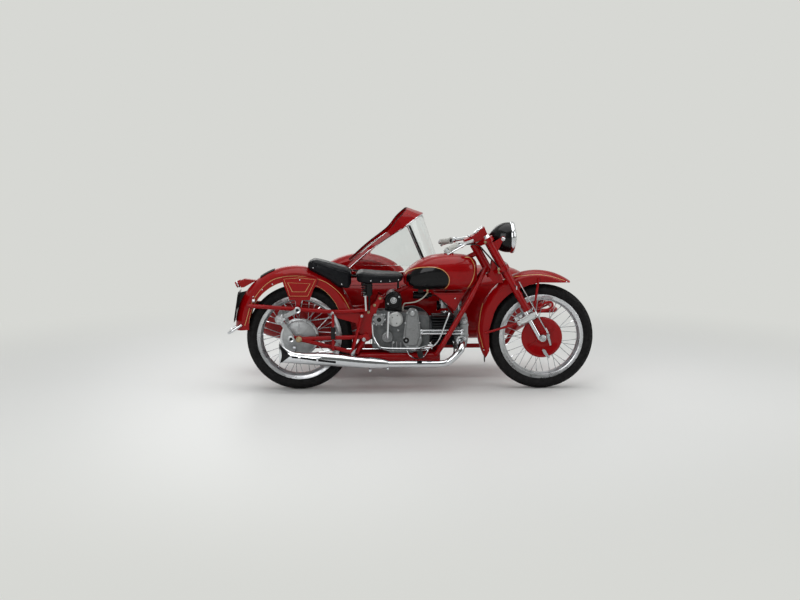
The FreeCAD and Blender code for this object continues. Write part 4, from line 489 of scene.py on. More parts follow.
class Shape:
    """Gathers the faces of one piece."""

    def __init__(self) -> None:
        """Start with no faces."""
        self.points: list[Vector] = []
        self.faces: list[tuple[int, ...]] = []

    def loft(self, rings: list[Ring], around: bool = True, looped: bool = False) -> None:
        """Put faces between rings of as many points each, and close open ends.

        Args:
            rings: The rings, in order.
            around: Whether each ring joins its own start.
            looped: Whether the last ring joins the first.
        """
        start = len(self.points)
        count = len(rings[0])
        for ring in rings:
            self.points.extend(ring)
        for row in range(len(rings) - (0 if looped else 1)):
            here = start + row * count
            there = start + (row + 1) % len(rings) * count
            for index in range(count if around else count - 1):
                beyond = (index + 1) % count
                self.faces.append((here + index, here + beyond, there + beyond, there + index))
        if around and not looped:
            self.faces.append(tuple(start + index for index in reversed(range(count))))
            last = start + (len(rings) - 1) * count
            self.faces.append(tuple(last + index for index in range(count)))

    def turned(
        self, profile: list[Pair], centre: Vector, axis: Vector,
        sides: int = 24, closed: bool = False,
    ) -> None:
        """Turn a profile about an axis.

        Args:
            profile: Pairs of radius and place along the axis.
            centre: The point of the axis that places are measured from.
            axis: The axis's direction.
            sides: How many steps make the turn.
            closed: Whether the profile joins its own start, as a hoop's does.
        """
        first, second = square_pair(axis)
        rings = []
        for angle in turns(sides):
            out = first * math.cos(angle) + second * math.sin(angle)
            rings.append([centre + out * radius + axis * along for radius, along in profile])
        self.loft(rings, around=closed, looped=True)

    def tube(self, path: list[Vector], radius: float, sides: int = 10, closed: bool = False) -> None:
        """Sweep a round section along a path.

        Args:
            path: The tube's middle line.
            radius: Its section's radius.
            sides: How many sides the section has.
            closed: Whether the path joins its own start.
        """
        count = len(path)
        rings = []
        across = None
        for index, point in enumerate(path):
            before = path[index - 1] if index or closed else point
            after = path[(index + 1) % count] if index + 1 < count or closed else point
            heading = (after - before).normalized()
            if across is None:
                across = square_pair(heading)[0]
            across = (across - heading * across.dot(heading)).normalized()
            other = heading.cross(across)
            rings.append([
                point + across * (radius * math.cos(angle)) + other * (radius * math.sin(angle))
                for angle in turns(sides)
            ])
        self.loft(rings, looped=closed)

    def slab(self, outline: list[Vector], rise: Vector, chamfer: float = 0.0) -> None:
        """Pull a flat outline along a vector, with its edges broken.

        Args:
            outline: The slab's first face.
            rise: The way to its other face.
            chamfer: How much its edges are broken, or nothing for sharp ones.
        """
        middle = sum(outline, Vector()) / len(outline)
        reach = max((point - middle).length for point in outline)
        small = [middle + (point - middle) * (1 - chamfer / reach) for point in outline]
        edge = rise.normalized() * chamfer
        self.loft([
            small,
            [point + edge for point in outline],
            [point + rise - edge for point in outline],
            [point + rise for point in small],
        ] if chamfer else [outline, [point + rise for point in outline]])

    def bolt(self, seat: Vector, out: Vector, across: float, sides: int = 6) -> None:
        """Set a bolt head with its washer on a seat.

        Args:
            seat: Where the washer's underside lies.
            out: The direction that the head stands out.
            across: The head's width over its flats.
            sides: Six for a hexagon, more for a round head.
        """
        washer_radius, washer_height, washer_sides = across * 0.72, across * 0.12, 18
        head_radius, head_height = across / 2 / math.cos(math.pi / sides), across * 0.62
        bevel, top_share = across * 0.08, 0.86
        for radius, low, high, count in (
            (washer_radius, -washer_height, washer_height, washer_sides), (head_radius, 0.0, head_height, sides),
        ):
            self.loft([
                circle(seat + out * height, out, width, count)
                for width, height in ((radius, low), (radius, high - bevel), (radius * top_share, high))
            ])

    def button(self, seat: Vector, out: Vector, radius: float, height: float, sides: int = 14) -> None:
        """Set a domed head, such as a rivet's or a stud's, on a seat.

        Args:
            seat: Where the head's rim lies.
            out: The way that it stands out.
            radius: Its rim's radius.
            height: How far it stands out, of which three tenths more go in.
            sides: How many steps make the turn.
        """
        steps, sunk_share, tip_share = 4, 0.3, 0.02
        profile = [(radius, -height * sunk_share)]
        for step in range(steps):
            angle = math.pi / 2 * step / steps
            profile.append((radius * math.cos(angle), height * math.sin(angle)))
        profile.append((radius * tip_share, height))
        self.turned(profile, seat, out, sides)

    def band(self, edges: list[Met], outs: list[Vector], lift: float, sink: float, closed: bool = False) -> None:
        """Lay a thin strip over a surface between pairs of edge points.

        Args:
            edges: The strip's left and right edge points, in order.
            outs: The way out of the surface at each pair.
            lift: How far the strip stands off the surface.
            sink: How far its underside goes in.
            closed: Whether it joins its own start.
        """
        rings = [
            [left + out * lift, right + out * lift, right - out * sink, left - out * sink]
            for (left, right), out in zip(edges, outs)
        ]
        self.loft(rings, looped=closed)

    def patch(self, skin: "Skin", outline: list[Vector], heading: Vector, lift: float, sink: float) -> None:
        """Lay a thin sheet on a skin, under an outline that stands before it.

        Args:
            skin: The surface that the sheet lies on.
            outline: The sheet's closed outline.
            heading: The way from the outline to the surface.
            lift: How far the sheet stands off the surface.
            sink: How far its edge goes in.
        """
        middle = sum(outline, Vector()) / len(outline)
        rows, least_reach, back_step = 10, 0.05, 0.02
        rings: list[Ring] = []
        for row in range(rows):
            ring = []
            for corner in outline:
                reach = 1 - row / rows
                met = skin.met(middle.lerp(corner, reach), heading)
                while met is None and reach > least_reach:
                    reach -= back_step
                    met = skin.met(middle.lerp(corner, reach), heading)
                if met is None:
                    raise LookupError("the sheet misses its surface")
                ring.append(met)
            if not rings:
                rings.append([point - out * sink for point, out in ring])
            rings.append([point + out * lift for point, out in ring])
        self.loft(rings)

    def piece(
        self, name: str, finish: Finish, body: Body = Body.FRAME,
        crease: float = 35.0, replaced: tuple[str, ...] = (), slot: Slot | None = None,
    ) -> bpy.types.Object:
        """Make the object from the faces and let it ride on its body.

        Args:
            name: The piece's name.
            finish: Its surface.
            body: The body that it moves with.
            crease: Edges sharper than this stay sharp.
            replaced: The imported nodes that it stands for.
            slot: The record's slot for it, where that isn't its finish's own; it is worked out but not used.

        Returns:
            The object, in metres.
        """
        mesh = bpy.data.meshes.new(name)
        mesh.from_pydata([(point - MIDDLE) * METRES for point in self.points], [], self.faces)
        editable = bmesh.new()
        editable.from_mesh(mesh)
        bmesh.ops.remove_doubles(editable, verts=editable.verts, dist=SAME_POINT * METRES)
        bmesh.ops.recalc_face_normals(editable, faces=editable.faces)
        editable.to_mesh(mesh)
        editable.free()
        mesh.shade_smooth()
        mesh.set_sharp_from_angle(angle=math.radians(crease))
        made = bpy.data.objects.new(name, mesh)
        bpy.context.scene.collection.objects.link(made)
        made.data.materials.append(finish.material())
        slot = slot or finish.slot
        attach(made, body.value)
        if replaced:
            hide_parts(*replaced)
        MADE_LOG.info("%s of %s on %s", name, finish.title, body.value)
        return made


class Skin:
    """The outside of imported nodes, met by rays."""

    def __init__(self, *nodes: str | bpy.types.Object) -> None:
        """Gather the faces on the bike's own axes.

        Args:
            nodes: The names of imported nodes, or pieces.
        """
        points: list[Vector] = []
        faces: list[tuple[int, ...]] = []
        for node in nodes:
            mesh = frame["nodes"][node].data if isinstance(node, str) else node.data
            start = len(points)
            points.extend(vertex.co / METRES + MIDDLE for vertex in mesh.vertices)
            faces.extend(tuple(start + index for index in polygon.vertices) for polygon in mesh.polygons)
        self.tree = BVHTree.FromPolygons(points, faces)

    def met(self, start: Vector, heading: Vector) -> Met | None:
        """Find where a ray first meets the skin.

        Args:
            start: Where the ray starts.
            heading: The way that it goes.

        Returns:
            The point and the way out there, or nothing.
        """
        point, out, _, _ = self.tree.ray_cast(start, heading.normalized())
        if point is None:
            return None
        if out.dot(heading) > 0:
            out = -out
        return point, out

    def nearest(self, place: Vector) -> Met:
        """Return the skin's nearest point and the way out there."""
        point, out, _, _ = self.tree.find_nearest(place)
        return point, out


# The stage

@dataclass
class Studio:
    """The pale room, its soft lights and the camera."""

    camera_place: Vector = field(default_factory=lambda: at(-336.0, -7983.0, 1479.0))
    yaw_deg: float = 1.5
    pitch_deg: float = 6.61
    lens_mm: float = 58.29
    sensor_mm: float = 36.0
    floor_reach_m: float = 60.0
    fade_m: Pair = (1.5, 4.4)
    room_colour: str = "d7d8d4"
    glow_colour: str = "e8ebee"
    floor_colour: str = "dedfdd"
    floor_shade: str = "e1e1df"
    aim_m: Triple = (0.0, 0.0, 0.5)
    softboxes: tuple[tuple[str, Triple, float, float], ...] = (
        ("overhead_softbox", (0.4, -0.6, 4.6), 5.0, 150.0),
        ("near_softbox", (-2.6, -5.6, 3.0), 3.2, 120.0),
        ("front_softbox", (5.2, -2.2, 2.6), 2.4, 45.0),
        ("far_softbox", (-1.5, 5.5, 3.2), 3.0, 55.0),
    )

    def build(self) -> None:
        """Make the camera, the floor, the world and the lamps."""
        self.camera()
        self.world()
        self.floor()
        self.lamps()

    def camera(self) -> None:
        """Stand the camera where the photograph was taken."""
        data = bpy.data.cameras.new("camera")
        data.lens = self.lens_mm
        data.sensor_width = self.sensor_mm
        camera = bpy.data.objects.new("camera", data)
        bpy.context.scene.collection.objects.link(camera)
        yaw, pitch = math.radians(self.yaw_deg), math.radians(self.pitch_deg)
        heading = at(math.sin(yaw) * math.cos(pitch), math.cos(yaw) * math.cos(pitch), -math.sin(pitch))
        camera.location = (self.camera_place - MIDDLE) * METRES
        camera.rotation_euler = heading.to_track_quat("-Z", "Y").to_euler()
        bpy.context.scene.camera = camera
        bpy.context.scene.view_settings.view_transform = "Standard"

    def world(self) -> None:
        """Fill the room with pale light, dimmer than what the camera sees and fading towards the camera's side, and
        show mirrors the room's colour, darker towards that side too.
        """
        world = bpy.data.worlds.new("pale_room")
        bpy.context.scene.world = world
        world.use_nodes = True
        tree = world.node_tree
        tree.nodes.clear()
        ray = add_node(tree, "ShaderNodeLightPath", {}, {})
        seen = add_node(tree, "ShaderNodeBackground", {"Color": linear(self.room_colour), "Strength": 1.0}, {})
        heading = add_node(tree, "ShaderNodeTexCoord", {}, {}).outputs["Generated"]
        split = add_node(tree, "ShaderNodeSeparateXYZ", {}, {0: heading})
        shade = add_node(
            tree, "ShaderNodeMapRange", {"From Min": -0.9, "From Max": 0.5, "To Min": 0.1, "To Max": 0.5},
            {"Value": split.outputs["Y"]},
        )
        glow = add_node(
            tree, "ShaderNodeBackground", {"Color": linear(self.glow_colour)}, {"Strength": shade.outputs[0]},
        )
        shown = add_node(
            tree, "ShaderNodeMath", {"operation": "MAXIMUM"},
            {0: ray.outputs["Is Camera Ray"], 1: ray.outputs["Is Transmission Ray"]},
        )
        mirrored_shade = add_node(
            tree, "ShaderNodeMapRange", {"From Min": -0.9, "From Max": 0.2, "To Min": 0.2, "To Max": 1.0},
            {"Value": split.outputs["Y"]},
        )
        mirrored = add_node(
            tree, "ShaderNodeBackground", {"Color": linear(self.room_colour)},
            {"Strength": mirrored_shade.outputs[0]},
        )
        unseen = add_node(
            tree, "ShaderNodeMixShader", {},
            {0: ray.outputs["Is Glossy Ray"], 1: glow.outputs[0], 2: mirrored.outputs[0]},
        )
        mix = add_node(
            tree, "ShaderNodeMixShader", {},
            {0: shown.outputs[0], 1: unseen.outputs[0], 2: seen.outputs[0]},
        )
        add_node(tree, "ShaderNodeOutputWorld", {}, {0: mix.outputs[0]})

    def floor(self) -> None:
        """Lay a plain floor that fades into the room's colour far off."""
        mesh = bpy.data.meshes.new("floor")
        reach = self.floor_reach_m
        corners = [(-reach, -reach, 0), (reach, -reach, 0), (reach, reach, 0), (-reach, reach, 0)]
        mesh.from_pydata(corners, [], [(0, 1, 2, 3)])
        floor = bpy.data.objects.new("floor", mesh)
        bpy.context.scene.collection.objects.link(floor)
        material = bpy.data.materials.new("painted_floor")
        material.use_nodes = True
        tree = material.node_tree
        shader = tree.nodes["Principled BSDF"]
        shader.inputs["Roughness"].default_value = 0.5
        place = add_node(tree, "ShaderNodeTexCoord", {}, {}).outputs["Object"]
        cloud = add_node(tree, "ShaderNodeTexNoise", {"Scale": 0.9, "Detail": 4.0}, {"Vector": place})
        paint = add_node(
            tree, "ShaderNodeMix", {"data_type": "RGBA", 6: linear(self.floor_colour), 7: linear(self.floor_shade)},
            {0: cloud.outputs[0]},
        )
        tree.links.new(paint.outputs[2], shader.inputs["Base Color"])
        far = add_node(tree, "ShaderNodeVectorMath", {"operation": "LENGTH"}, {0: place})
        fade = add_node(
            tree, "ShaderNodeMapRange",
            {"interpolation_type": "SMOOTHSTEP", "From Min": self.fade_m[0], "From Max": self.fade_m[1]},
            {"Value": far.outputs["Value"]},
        )
        haze = add_node(tree, "ShaderNodeEmission", {"Color": linear(self.room_colour)}, {})
        mix = add_node(
            tree, "ShaderNodeMixShader", {},
            {0: fade.outputs[0], 1: shader.outputs[0], 2: haze.outputs[0]},
        )
        tree.links.new(mix.outputs[0], tree.nodes["Material Output"].inputs["Surface"])
        mesh.materials.append(material)

    def lamps(self) -> None:
        """Hang the soft lamps, each with its place, its breadth in metres and its watts."""
        for name, place, size, watts in self.softboxes:
            data = bpy.data.lights.new(name, "AREA")
            data.size = size
            data.energy = watts
            lamp = bpy.data.objects.new(name, data)
            bpy.context.scene.collection.objects.link(lamp)
            lamp.location = place
            aim = Vector(self.aim_m) - lamp.location
            lamp.rotation_euler = aim.to_track_quat("-Z", "Y").to_euler()


# Wheels

class Tread(Enum):
    """Where a point of the tyre's section lies."""

    SIDE = "side"
    EDGE = "edge"
    SHOULDER = "shoulder"
    GROOVE = "groove"
    BLOCK = "block"
    CREST = "crest"


# How much of the groove's depth the cuts across the tread take from each kind of point.
CUT_SHARE = {Tread.SHOULDER: 1.0, Tread.EDGE: 0.6, Tread.BLOCK: 0.7, Tread.GROOVE: 1.0}


@dataclass
class WireWheel:
    """A 19-inch wire wheel with its tyre."""

    name: str
    body: Body
    hub: Vector
    drum_side: int
    tread_radius: float = 326.5
    half_width: float = 45.0
    rim_radius: float = 257.0
    rim_half_width: float = 35.0
    flange: float = 13.0
    wall: float = 4.0
    well: float = 16.0
    hub_radius: float = 34.0
    hub_half_length: float = 46.0
    flange_radius: float = 62.0
    drum_radius: float = 118.0
    drum_width: float = 32.0
    spoke_count: int = 36
    spoke_lean_deg: float = 26.0
    blocks: int = 66
    groove_depth: float = 5.0
    bead_half: float = 31.0
    wall_top: float = 296.0
    shoulder_radius: float = 309.5
    spoke_radius: float = 1.9
    nipple_radius: float = 3.1

    def build(self) -> None:
        """Make the tyre, the rim, the spokes, their nipples and the hub."""
        self.tyre()
        self.rim()
        self.spokes()
        self.hub_and_drum()

    def on_wheel(self, radius: float, y: float, angle: float) -> Vector:
        """Return a point of the wheel from its radius, its place across and its angle."""
        return self.hub + swung(radius, angle, y)

    def tyre_profile(self) -> list[tuple[float, float, Tread]]:
        """Draw the tyre's section from bead to bead.

        Returns:
            Each point's radius, place across and kind.
        """
        steps, swell, width = 9, 1.15, self.half_width
        half = [(self.rim_radius - self.flange + 3, -29, Tread.SIDE)]
        for step in range(steps):
            share = step / (steps - 1)
            radius = self.rim_radius + 2 + (self.wall_top - self.rim_radius) * share
            rise = math.sin(math.pi / 2 * min(1, share * swell))
            half.append((radius, -self.bead_half - (width - self.bead_half) * rise, Tread.SIDE))
        half += [(302, 0.3 - width, Tread.CREST), (304, 1.2 - width, Tread.SIDE)]
        drop, crown_half, power = self.tread_radius - self.shoulder_radius, 38, 2.3
        for kind, places_across in (
            (Tread.EDGE, (37.5,)), (Tread.SHOULDER, (35.5, 27)), (Tread.GROOVE, (25, 22.5)),
            (Tread.BLOCK, (20.5, 12)), (Tread.GROOVE, (10.2, 7.8)), (Tread.CREST, (6, 0)),
        ):
            for y in places_across:
                half.append((self.tread_radius - drop * (y / crown_half) ** power, -y, kind))
        mirrored = [(radius, -y, kind) for radius, y, kind in reversed(half[:-1])]
        return half + mirrored

    def tyre(self) -> None:
        """Mould the tyre with its ribs and blocks, which are cut across at the start of each step."""
        shape = Shape()
        profile = self.tyre_profile()
        rings = []
        cuts, lean_share = (0, 0.16, 0.22, 0.6, 0.94), 0.4
        for block in range(self.blocks):
            for cut_index, cut in enumerate(cuts):
                angle = TURN * (block + cut) / self.blocks
                ring = []
                for radius, y, kind in profile:
                    sunk = kind is Tread.GROOVE or cut_index < 2
                    depth = self.groove_depth * CUT_SHARE.get(kind, 0) if sunk else 0
                    lean = 0 if kind is Tread.SIDE else lean_share * y / self.half_width / self.blocks * TURN
                    ring.append(self.on_wheel(radius - depth, y, angle + abs(lean)))
                rings.append(ring)
        shape.loft(rings, looped=True)
        shape.piece(f"{self.name}_treaded_tyre", TYRE, self.body, crease=30, replaced=(f"{self.name}_tyre",))

    def rim(self) -> None:
        """Roll the rim with its wired edges and its well."""
        edge, half, wall = self.rim_radius, self.rim_half_width, self.wall
        base, lip = edge - self.flange, wall * 0.9
        well = base - self.well
        outer = [
            (edge + 4, 1 - half), (edge + 5.5, -half - 1.5), (edge + 3, 0.4 - half - lip), (edge, -half - 2.4),
            (base + 2, -half - 1), (base - wall, 2 - half), (base - wall - 2, 8 - half), (base - 8, -24),
            (well + 1, -17), (well - 2, -9), (well - 3, 0),
        ]
        inner = [
            (well + 2, 0), (well + 3, -9), (base - 6, -20), (base, -28), (base + 2, wall - half),
            (edge + 2, wall - half),
        ]
        left = [(radius, -y) for radius, y in reversed(outer[:-1])]
        left_inner = [(radius, -y) for radius, y in reversed(inner[1:])]
        shape = Shape()
        shape.turned(outer + left + left_inner + inner, self.hub, LEFT, 120, closed=True)
        shape.piece(f"{self.name}_rolled_rim", POLISHED, self.body, crease=40, replaced=(f"{self.name}_wheel",))

    def spokes(self) -> None:
        """Lace the spokes, two crossing pairs at a time, and screw on their nipples."""
        wires, nipples = Shape(), Shape()
        rim_end = self.rim_radius - self.flange - self.well / 2
        for index in range(self.spoke_count):
            side = -1 if index % 2 else 1
            on_drum = side == self.drum_side
            root = (self.drum_radius if on_drum else self.flange_radius) - 6
            root_y = side * (self.hub_half_length - (self.drum_width if on_drum else 3))
            lean = math.radians(self.spoke_lean_deg) * (1 if index % 4 < 2 else -1)
            rim_angle = TURN * (index + 0.5) / self.spoke_count
            hub_angle = rim_angle + (lean / 2 if on_drum else lean)
            start = self.on_wheel(root, root_y, hub_angle)
            end = self.on_wheel(rim_end, side * self.rim_half_width / 8, rim_angle)
            wires.tube([start, end], self.spoke_radius, 8)
            wires.button(start, LEFT * side, 3.2, 2, 8)
            run = (end - start).normalized()
            nipples.tube([end - run * 26, end - run * 24, end - run * 4], self.nipple_radius, 8)
            nipples.turned([(4.4, -6), (4.4, -3.5), (3, -2)], end, run, 8)
        wires.piece(f"{self.name}_spokes", STEEL, self.body)
        nipples.piece(f"{self.name}_spoke_nipples", CHROME, self.body, slot=Slot.STEEL)

    def hub_and_drum(self) -> None:
        """Turn the hub shell, its flanges and its brake drum."""
        edge, drum, hub, flange = self.hub_half_length, self.drum_radius, self.hub_radius, self.flange_radius
        mouth = self.drum_width - edge
        shell = [(10.5, -edge), (drum - 6, -edge), (drum - 2, -edge + 1), (drum, -edge + 4)]
        for rib in range(3):
            y = -edge + 7 + rib * 7
            shell += [(drum, y), (drum - 4, y + 1.5), (drum - 4, y + 4), (drum, y + 5.5)]
        shell += [
            (drum, mouth - 3), (drum - 4, mouth), (60, mouth + 6), (hub + 4, mouth + 10), (hub, -2), (hub, 4),
            (hub + 5, edge - 10), (flange, edge - 7), (flange + 0.5, edge - 3), (flange - 2, edge), (30, edge),
            (27, edge - 3), (18, edge - 3), (10.5, edge),
        ]
        if self.drum_side > 0:
            shell = [(radius, -y) for radius, y in shell]
        shape = Shape()
        shape.turned(shell, self.hub, LEFT, 72, closed=True)
        shape.piece(f"{self.name}_hub_shell", POLISHED, self.body, crease=30)


# Lines of gold paint

@dataclass
class CoachLines:
    """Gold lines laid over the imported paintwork."""

    width: float = 3.0
    lift: float = 0.35
    sink: float = 0.6

    def along(
        self, shape: Shape, skin: Skin, left: list[Vector], right: list[Vector], heading: Vector,
        closed: bool = False,
    ) -> None:
        """Lay a line where rays from two rows of points meet a skin.

        Args:
            shape: The piece that the line joins.
            skin: The painted surface.
            left: Points over one edge of the line.
            right: Points over its other edge.
            heading: The way that the rays go.
            closed: Whether the line joins its own start.
        """
        edges, outs = [], []
        for start_left, start_right in zip(left, right):
            first, second = skin.met(start_left, heading), skin.met(start_right, heading)
            if first is None or second is None:
                self.flush(shape, edges, outs)
                edges, outs = [], []
                continue
            edges.append((first[0], second[0]))
            outs.append((first[1] + second[1]).normalized())
        if closed and len(edges) == len(left):
            shape.band(edges, outs, self.lift, self.sink, True)
        else:
            self.flush(shape, edges, outs)

    def flush(self, shape: Shape, edges: list[Met], outs: list[Vector]) -> None:
        """Lay what has been gathered, if it is a line."""
        if len(edges) > 1:
            shape.band(edges, outs, self.lift, self.sink)

    def arc(
        self, shape: Shape, skin: Skin, centre: Vector, radius: float, start_deg: float, end_deg: float, side: int,
    ) -> None:
        """Lay a line along an arc on a guard's side.

        Args:
            shape: The piece that the line joins.
            skin: The guard.
            centre: The arc's centre.
            radius: Its radius.
            start_deg: Where it starts, in degrees up from straight ahead.
            end_deg: Where it ends.
            side: The bike's right (-1) or left (1).
        """
        step_deg = 1.5
        steps = round(abs(end_deg - start_deg) / step_deg)
        rows: list[list[Vector]] = [[], []]
        for step in range(steps + 1):
            angle = math.radians(start_deg + (end_deg - start_deg) * step / steps)
            for row, shift in zip(rows, (self.width / 2, -self.width / 2)):
                row.append(centre + swung(radius + shift, angle, side * FAR))
        self.along(shape, skin, rows[0], rows[1], LEFT * -side)

    def outline(self, shape: Shape, skin: Skin, corners: list[Vector], heading: Vector, closed: bool) -> None:
        """Lay a line along a row of points that stands before a surface.

        Args:
            shape: The piece that the line joins.
            skin: The surface.
            corners: The line's middle.
            heading: The way from the points to the surface.
            closed: Whether the line joins its own start.
        """
        left, right = [], []
        count = len(corners)
        for index, corner in enumerate(corners):
            before = corners[index - 1] if index or closed else corner
            after = corners[(index + 1) % count] if index + 1 < count or closed else corner
            across = (after - before).cross(heading).normalized() * (self.width / 2)
            left.append(corner + across)
            right.append(corner - across)
        self.along(shape, skin, left, right, heading, closed)


# Parts that several sub-assemblies share

FAR = 700.0
SIDES = (-1, 1)
RAKE = math.radians(29.3)
FRONT_AXLE = at(750.0, 0.0, 326.5)
REAR_AXLE = at(-750.0, 0.0, 326.5)
FORK_AHEAD = at(math.cos(RAKE), 0.0, math.sin(RAKE))
FORK_UP = at(-math.sin(RAKE), 0.0, math.cos(RAKE))


def on_fork(ahead: float, side: float, up: float) -> Vector:
    """Return a point from its place on the raked fork, measured from the front axle."""
    return FRONT_AXLE + FORK_AHEAD * ahead + LEFT * side + FORK_UP * up


def from_side(side: int, x: float, z: float) -> Vector:
    """Return a point well outside the bike's right (-1) or left (1) side."""
    return at(x, side * FAR, z)


def fasten(shape: Shape, skin: Skin, side: int, across: float, places: list[Pair], sides: int = 6) -> None:
    """Set bolts on a skin, straight in from one side.

    Args:
        shape: The piece that gathers the heads.
        skin: What they clamp.
        side: The bike's right (-1) or left (1).
        across: Each head's width over its flats.
        places: Each head's x and z.
        sides: Six for a hexagon, more for a round head.
    """
    for x, z in places:
        met = skin.met(from_side(side, x, z), LEFT * -side)
        if met is None:
            MADE_LOG.warning("no seat for a bolt at %.0f, %.0f", x, z)
            continue
        shape.bolt(met[0], LEFT * side, across, sides)


def collar(shape: Shape, skin: Skin, centre: Vector, axis: Vector, width: float, lift: float) -> None:
    """Wrap a clamp band round a pipe.

    Args:
        shape: The piece that the band joins.
        skin: The pipe.
        centre: A point on the pipe's axis, midway along the band.
        axis: The pipe's direction.
        width: The band's width along the pipe.
        lift: How far it stands off the pipe.
    """
    steps, clear, sink = 36, 120.0, 0.5
    edges, outs = [], []
    for out in circle(Vector(), axis, 1.0, steps):
        pair = [skin.met(centre + axis * shift + out * clear, -out) for shift in (-width / 2, width / 2)]
        if None not in pair:
            edges.append((pair[0][0], pair[1][0]))
            outs.append(out)
    if len(edges) > 2:
        shape.band(edges, outs, lift, sink, True)


def rivets(shape: Shape, skin: Skin, spots: Sequence[Pair], radius: float, height: float, sides: int = 14) -> None:
    """Set domed heads on both of a skin's flanks, straight in from each side.

    Args:
        shape: The piece that gathers the heads.
        skin: What they hold.
        spots: Each head's x and z.
        radius: Its rim's radius.
        height: How far it stands out.
        sides: How many steps make its turn.
    """
    for side in SIDES:
        for x, z in spots:
            met = skin.met(from_side(side, x, z), LEFT * -side)
            if met:
                shape.button(met[0], met[1], radius, height, sides)


def spoke_outline(centre: Vector, angle: float, root: Pair, tip: Pair) -> list[Vector]:
    """Draw the flat outline of a rib that runs out from a wheel's middle.

    Args:
        centre: The middle.
        angle: The rib's angle up from straight ahead.
        root: How far out the rib starts, and its half width there.
        tip: The same for its end.

    Returns:
        Its four corners.
    """
    out = swung(1.0, angle)
    across = out.cross(LEFT)
    (start, start_half), (end, end_half) = root, tip
    return [
        centre + out * start + across * start_half, centre + out * end + across * end_half,
        centre + out * end - across * end_half, centre + out * start - across * start_half,
    ]


# Seats

@dataclass
class Pad:
    """A leather cover drawn over a stuffed or sprung pad."""

    name: str
    node: str
    stations: list[Station]
    middle_y: float = 0.0
    squareness: float = 4.2
    shrink: float = 5.0
    cap: float = 8.0
    voxel: float = 6.0
    fill: float = 0.7
    pleats: tuple[float, ...] = ()
    pleat_depth: float = 7.0
    held_below: float = 0.0
    seam_share: float = 0.0
    studs: tuple[Pair, ...] = ()
    around: int = 48
    cloth_quality: int = 4
    cloth_mass: float = 0.3
    pressure: float = 4.0
    frames: int = 20
    held_share: float = 0.1
    pleat_width: float = 9.0
    piping_radius: float = 2.6
    piping_lift: float = 0.6

    def build(self) -> None:
        pad = self.cut()
        self.swell(pad)
        self.smooth(pad)
        self.sew(pad)
        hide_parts(self.node)
        self.trim(pad)

    def ring(self, x: float, half: float, low: float, high: float) -> Ring:
        """Draw one cross-section with rounded corners.

        Args:
            x: Where it stands.
            half: Half its width.
            low: Its underside.
            high: Its top.

        Returns:
            The section's points.
        """
        middle = (low + high) / 2
        power = 2 / self.squareness
        ring = []
        for angle in turns(self.around):
            across, rise = bulged(math.cos(angle), power), bulged(math.sin(angle), power)
            y = self.middle_y + across * (half - self.shrink)
            ring.append(at(x, y, middle + rise * ((high - low) / 2 - self.shrink / 2)))
        return ring

    def cut(self) -> bpy.types.Object:
        """Make the pad as it is before it swells, as an even net of cloth.

        Returns:
            The pad.
        """
        shape = Shape()
        shape.loft([self.ring(*station) for station in self.stations])
        pad = shape.piece(self.name, LEATHER, crease=180)
        net = pad.modifiers.new("even_net", "REMESH")
        net.mode = "VOXEL"
        net.voxel_size = self.voxel * METRES
        self.settle(pad)
        return pad

    def settle(self, pad: bpy.types.Object) -> None:
        """Keep what the pad's modifiers make, and drop them.

        Args:
            pad: The pad.
        """
        graph = bpy.context.evaluated_depsgraph_get()
        mesh = bpy.data.meshes.new_from_object(pad.evaluated_get(graph))
        mesh.name = self.name
        pad.modifiers.clear()
        pad.data = mesh
        if not mesh.materials:
            mesh.materials.append(LEATHER.material())
        mesh.shade_smooth()

    def swell(self, pad: bpy.types.Object) -> None:
        """Let the stuffing push the cover out, as far as the cap allows.

        Args:
            pad: The pad.
        """
        before = [vertex.co.copy() for vertex in pad.data.vertices]
        cloth = pad.modifiers.new("cover", "CLOTH")
        cloth.settings.quality = self.cloth_quality
        cloth.settings.mass = self.cloth_mass
        cloth.settings.use_pressure = True
        cloth.settings.uniform_pressure_force = self.pressure
        cloth.settings.effector_weights.gravity = 0.0
        cloth.collision_settings.use_collision = False
        scene = bpy.context.scene
        for number in range(1, self.frames + 1):
            scene.frame_set(number)
        graph = bpy.context.evaluated_depsgraph_get()
        swollen = pad.evaluated_get(graph).to_mesh()
        after = [vertex.co.copy() for vertex in swollen.vertices]
        pad.evaluated_get(graph).to_mesh_clear()
        pad.modifiers.clear()
        scene.frame_set(1)
        cap = self.cap * METRES
        held = self.held_below * METRES
        for vertex, start, end in zip(pad.data.vertices, before, after):
            move = end - start
            if move.length > cap:
                move *= cap / move.length
            if start.z < held:
                move *= self.held_share
            vertex.co = start + move

    def smooth(self, pad: bpy.types.Object) -> None:
        """Round the net off once.

        Args:
            pad: The pad.
        """
        rounder = pad.modifiers.new("rounder", "SUBSURF")
        rounder.levels = 1
        self.settle(pad)

    def sew(self, pad: bpy.types.Object) -> None:
        """Pull the sewn channels in.

        Args:
            pad: The pad.
        """
        outs = [vertex.normal.copy() for vertex in pad.data.vertices]
        for vertex, out in zip(pad.data.vertices, outs):
            y = vertex.co.y / METRES + MIDDLE.y - self.middle_y
            near = max((math.exp(-((y - pleat) / self.pleat_width) ** 2) for pleat in self.pleats), default=0)
            vertex.co -= out * (near * max(0, out.z, out.x) * self.pleat_depth * METRES)

    def trim(self, pad: bpy.types.Object) -> None:
        """Sew the piping round the top and set the studs in the side.

        Args:
            pad: The pad.
        """
        skin = Skin(pad)
        if self.seam_share:
            piping = Shape()
            right, left = ([self.seam(skin, station, side) for station in self.stations[1:-1]] for side in SIDES)
            back, front = (self.seam(skin, self.stations[end], 0) for end in (0, -1))
            piping.tube(eased([*right, front, *left[::-1], back], 8, True), self.piping_radius, 8, True)
            piping.piece(f"{self.name}_piping", LEATHER)
        if self.studs:
            studs = Shape()
            rivets(studs, skin, self.studs, 4.6, 3.2, 16)
            studs.piece(f"{self.name}_studs", CHROME)

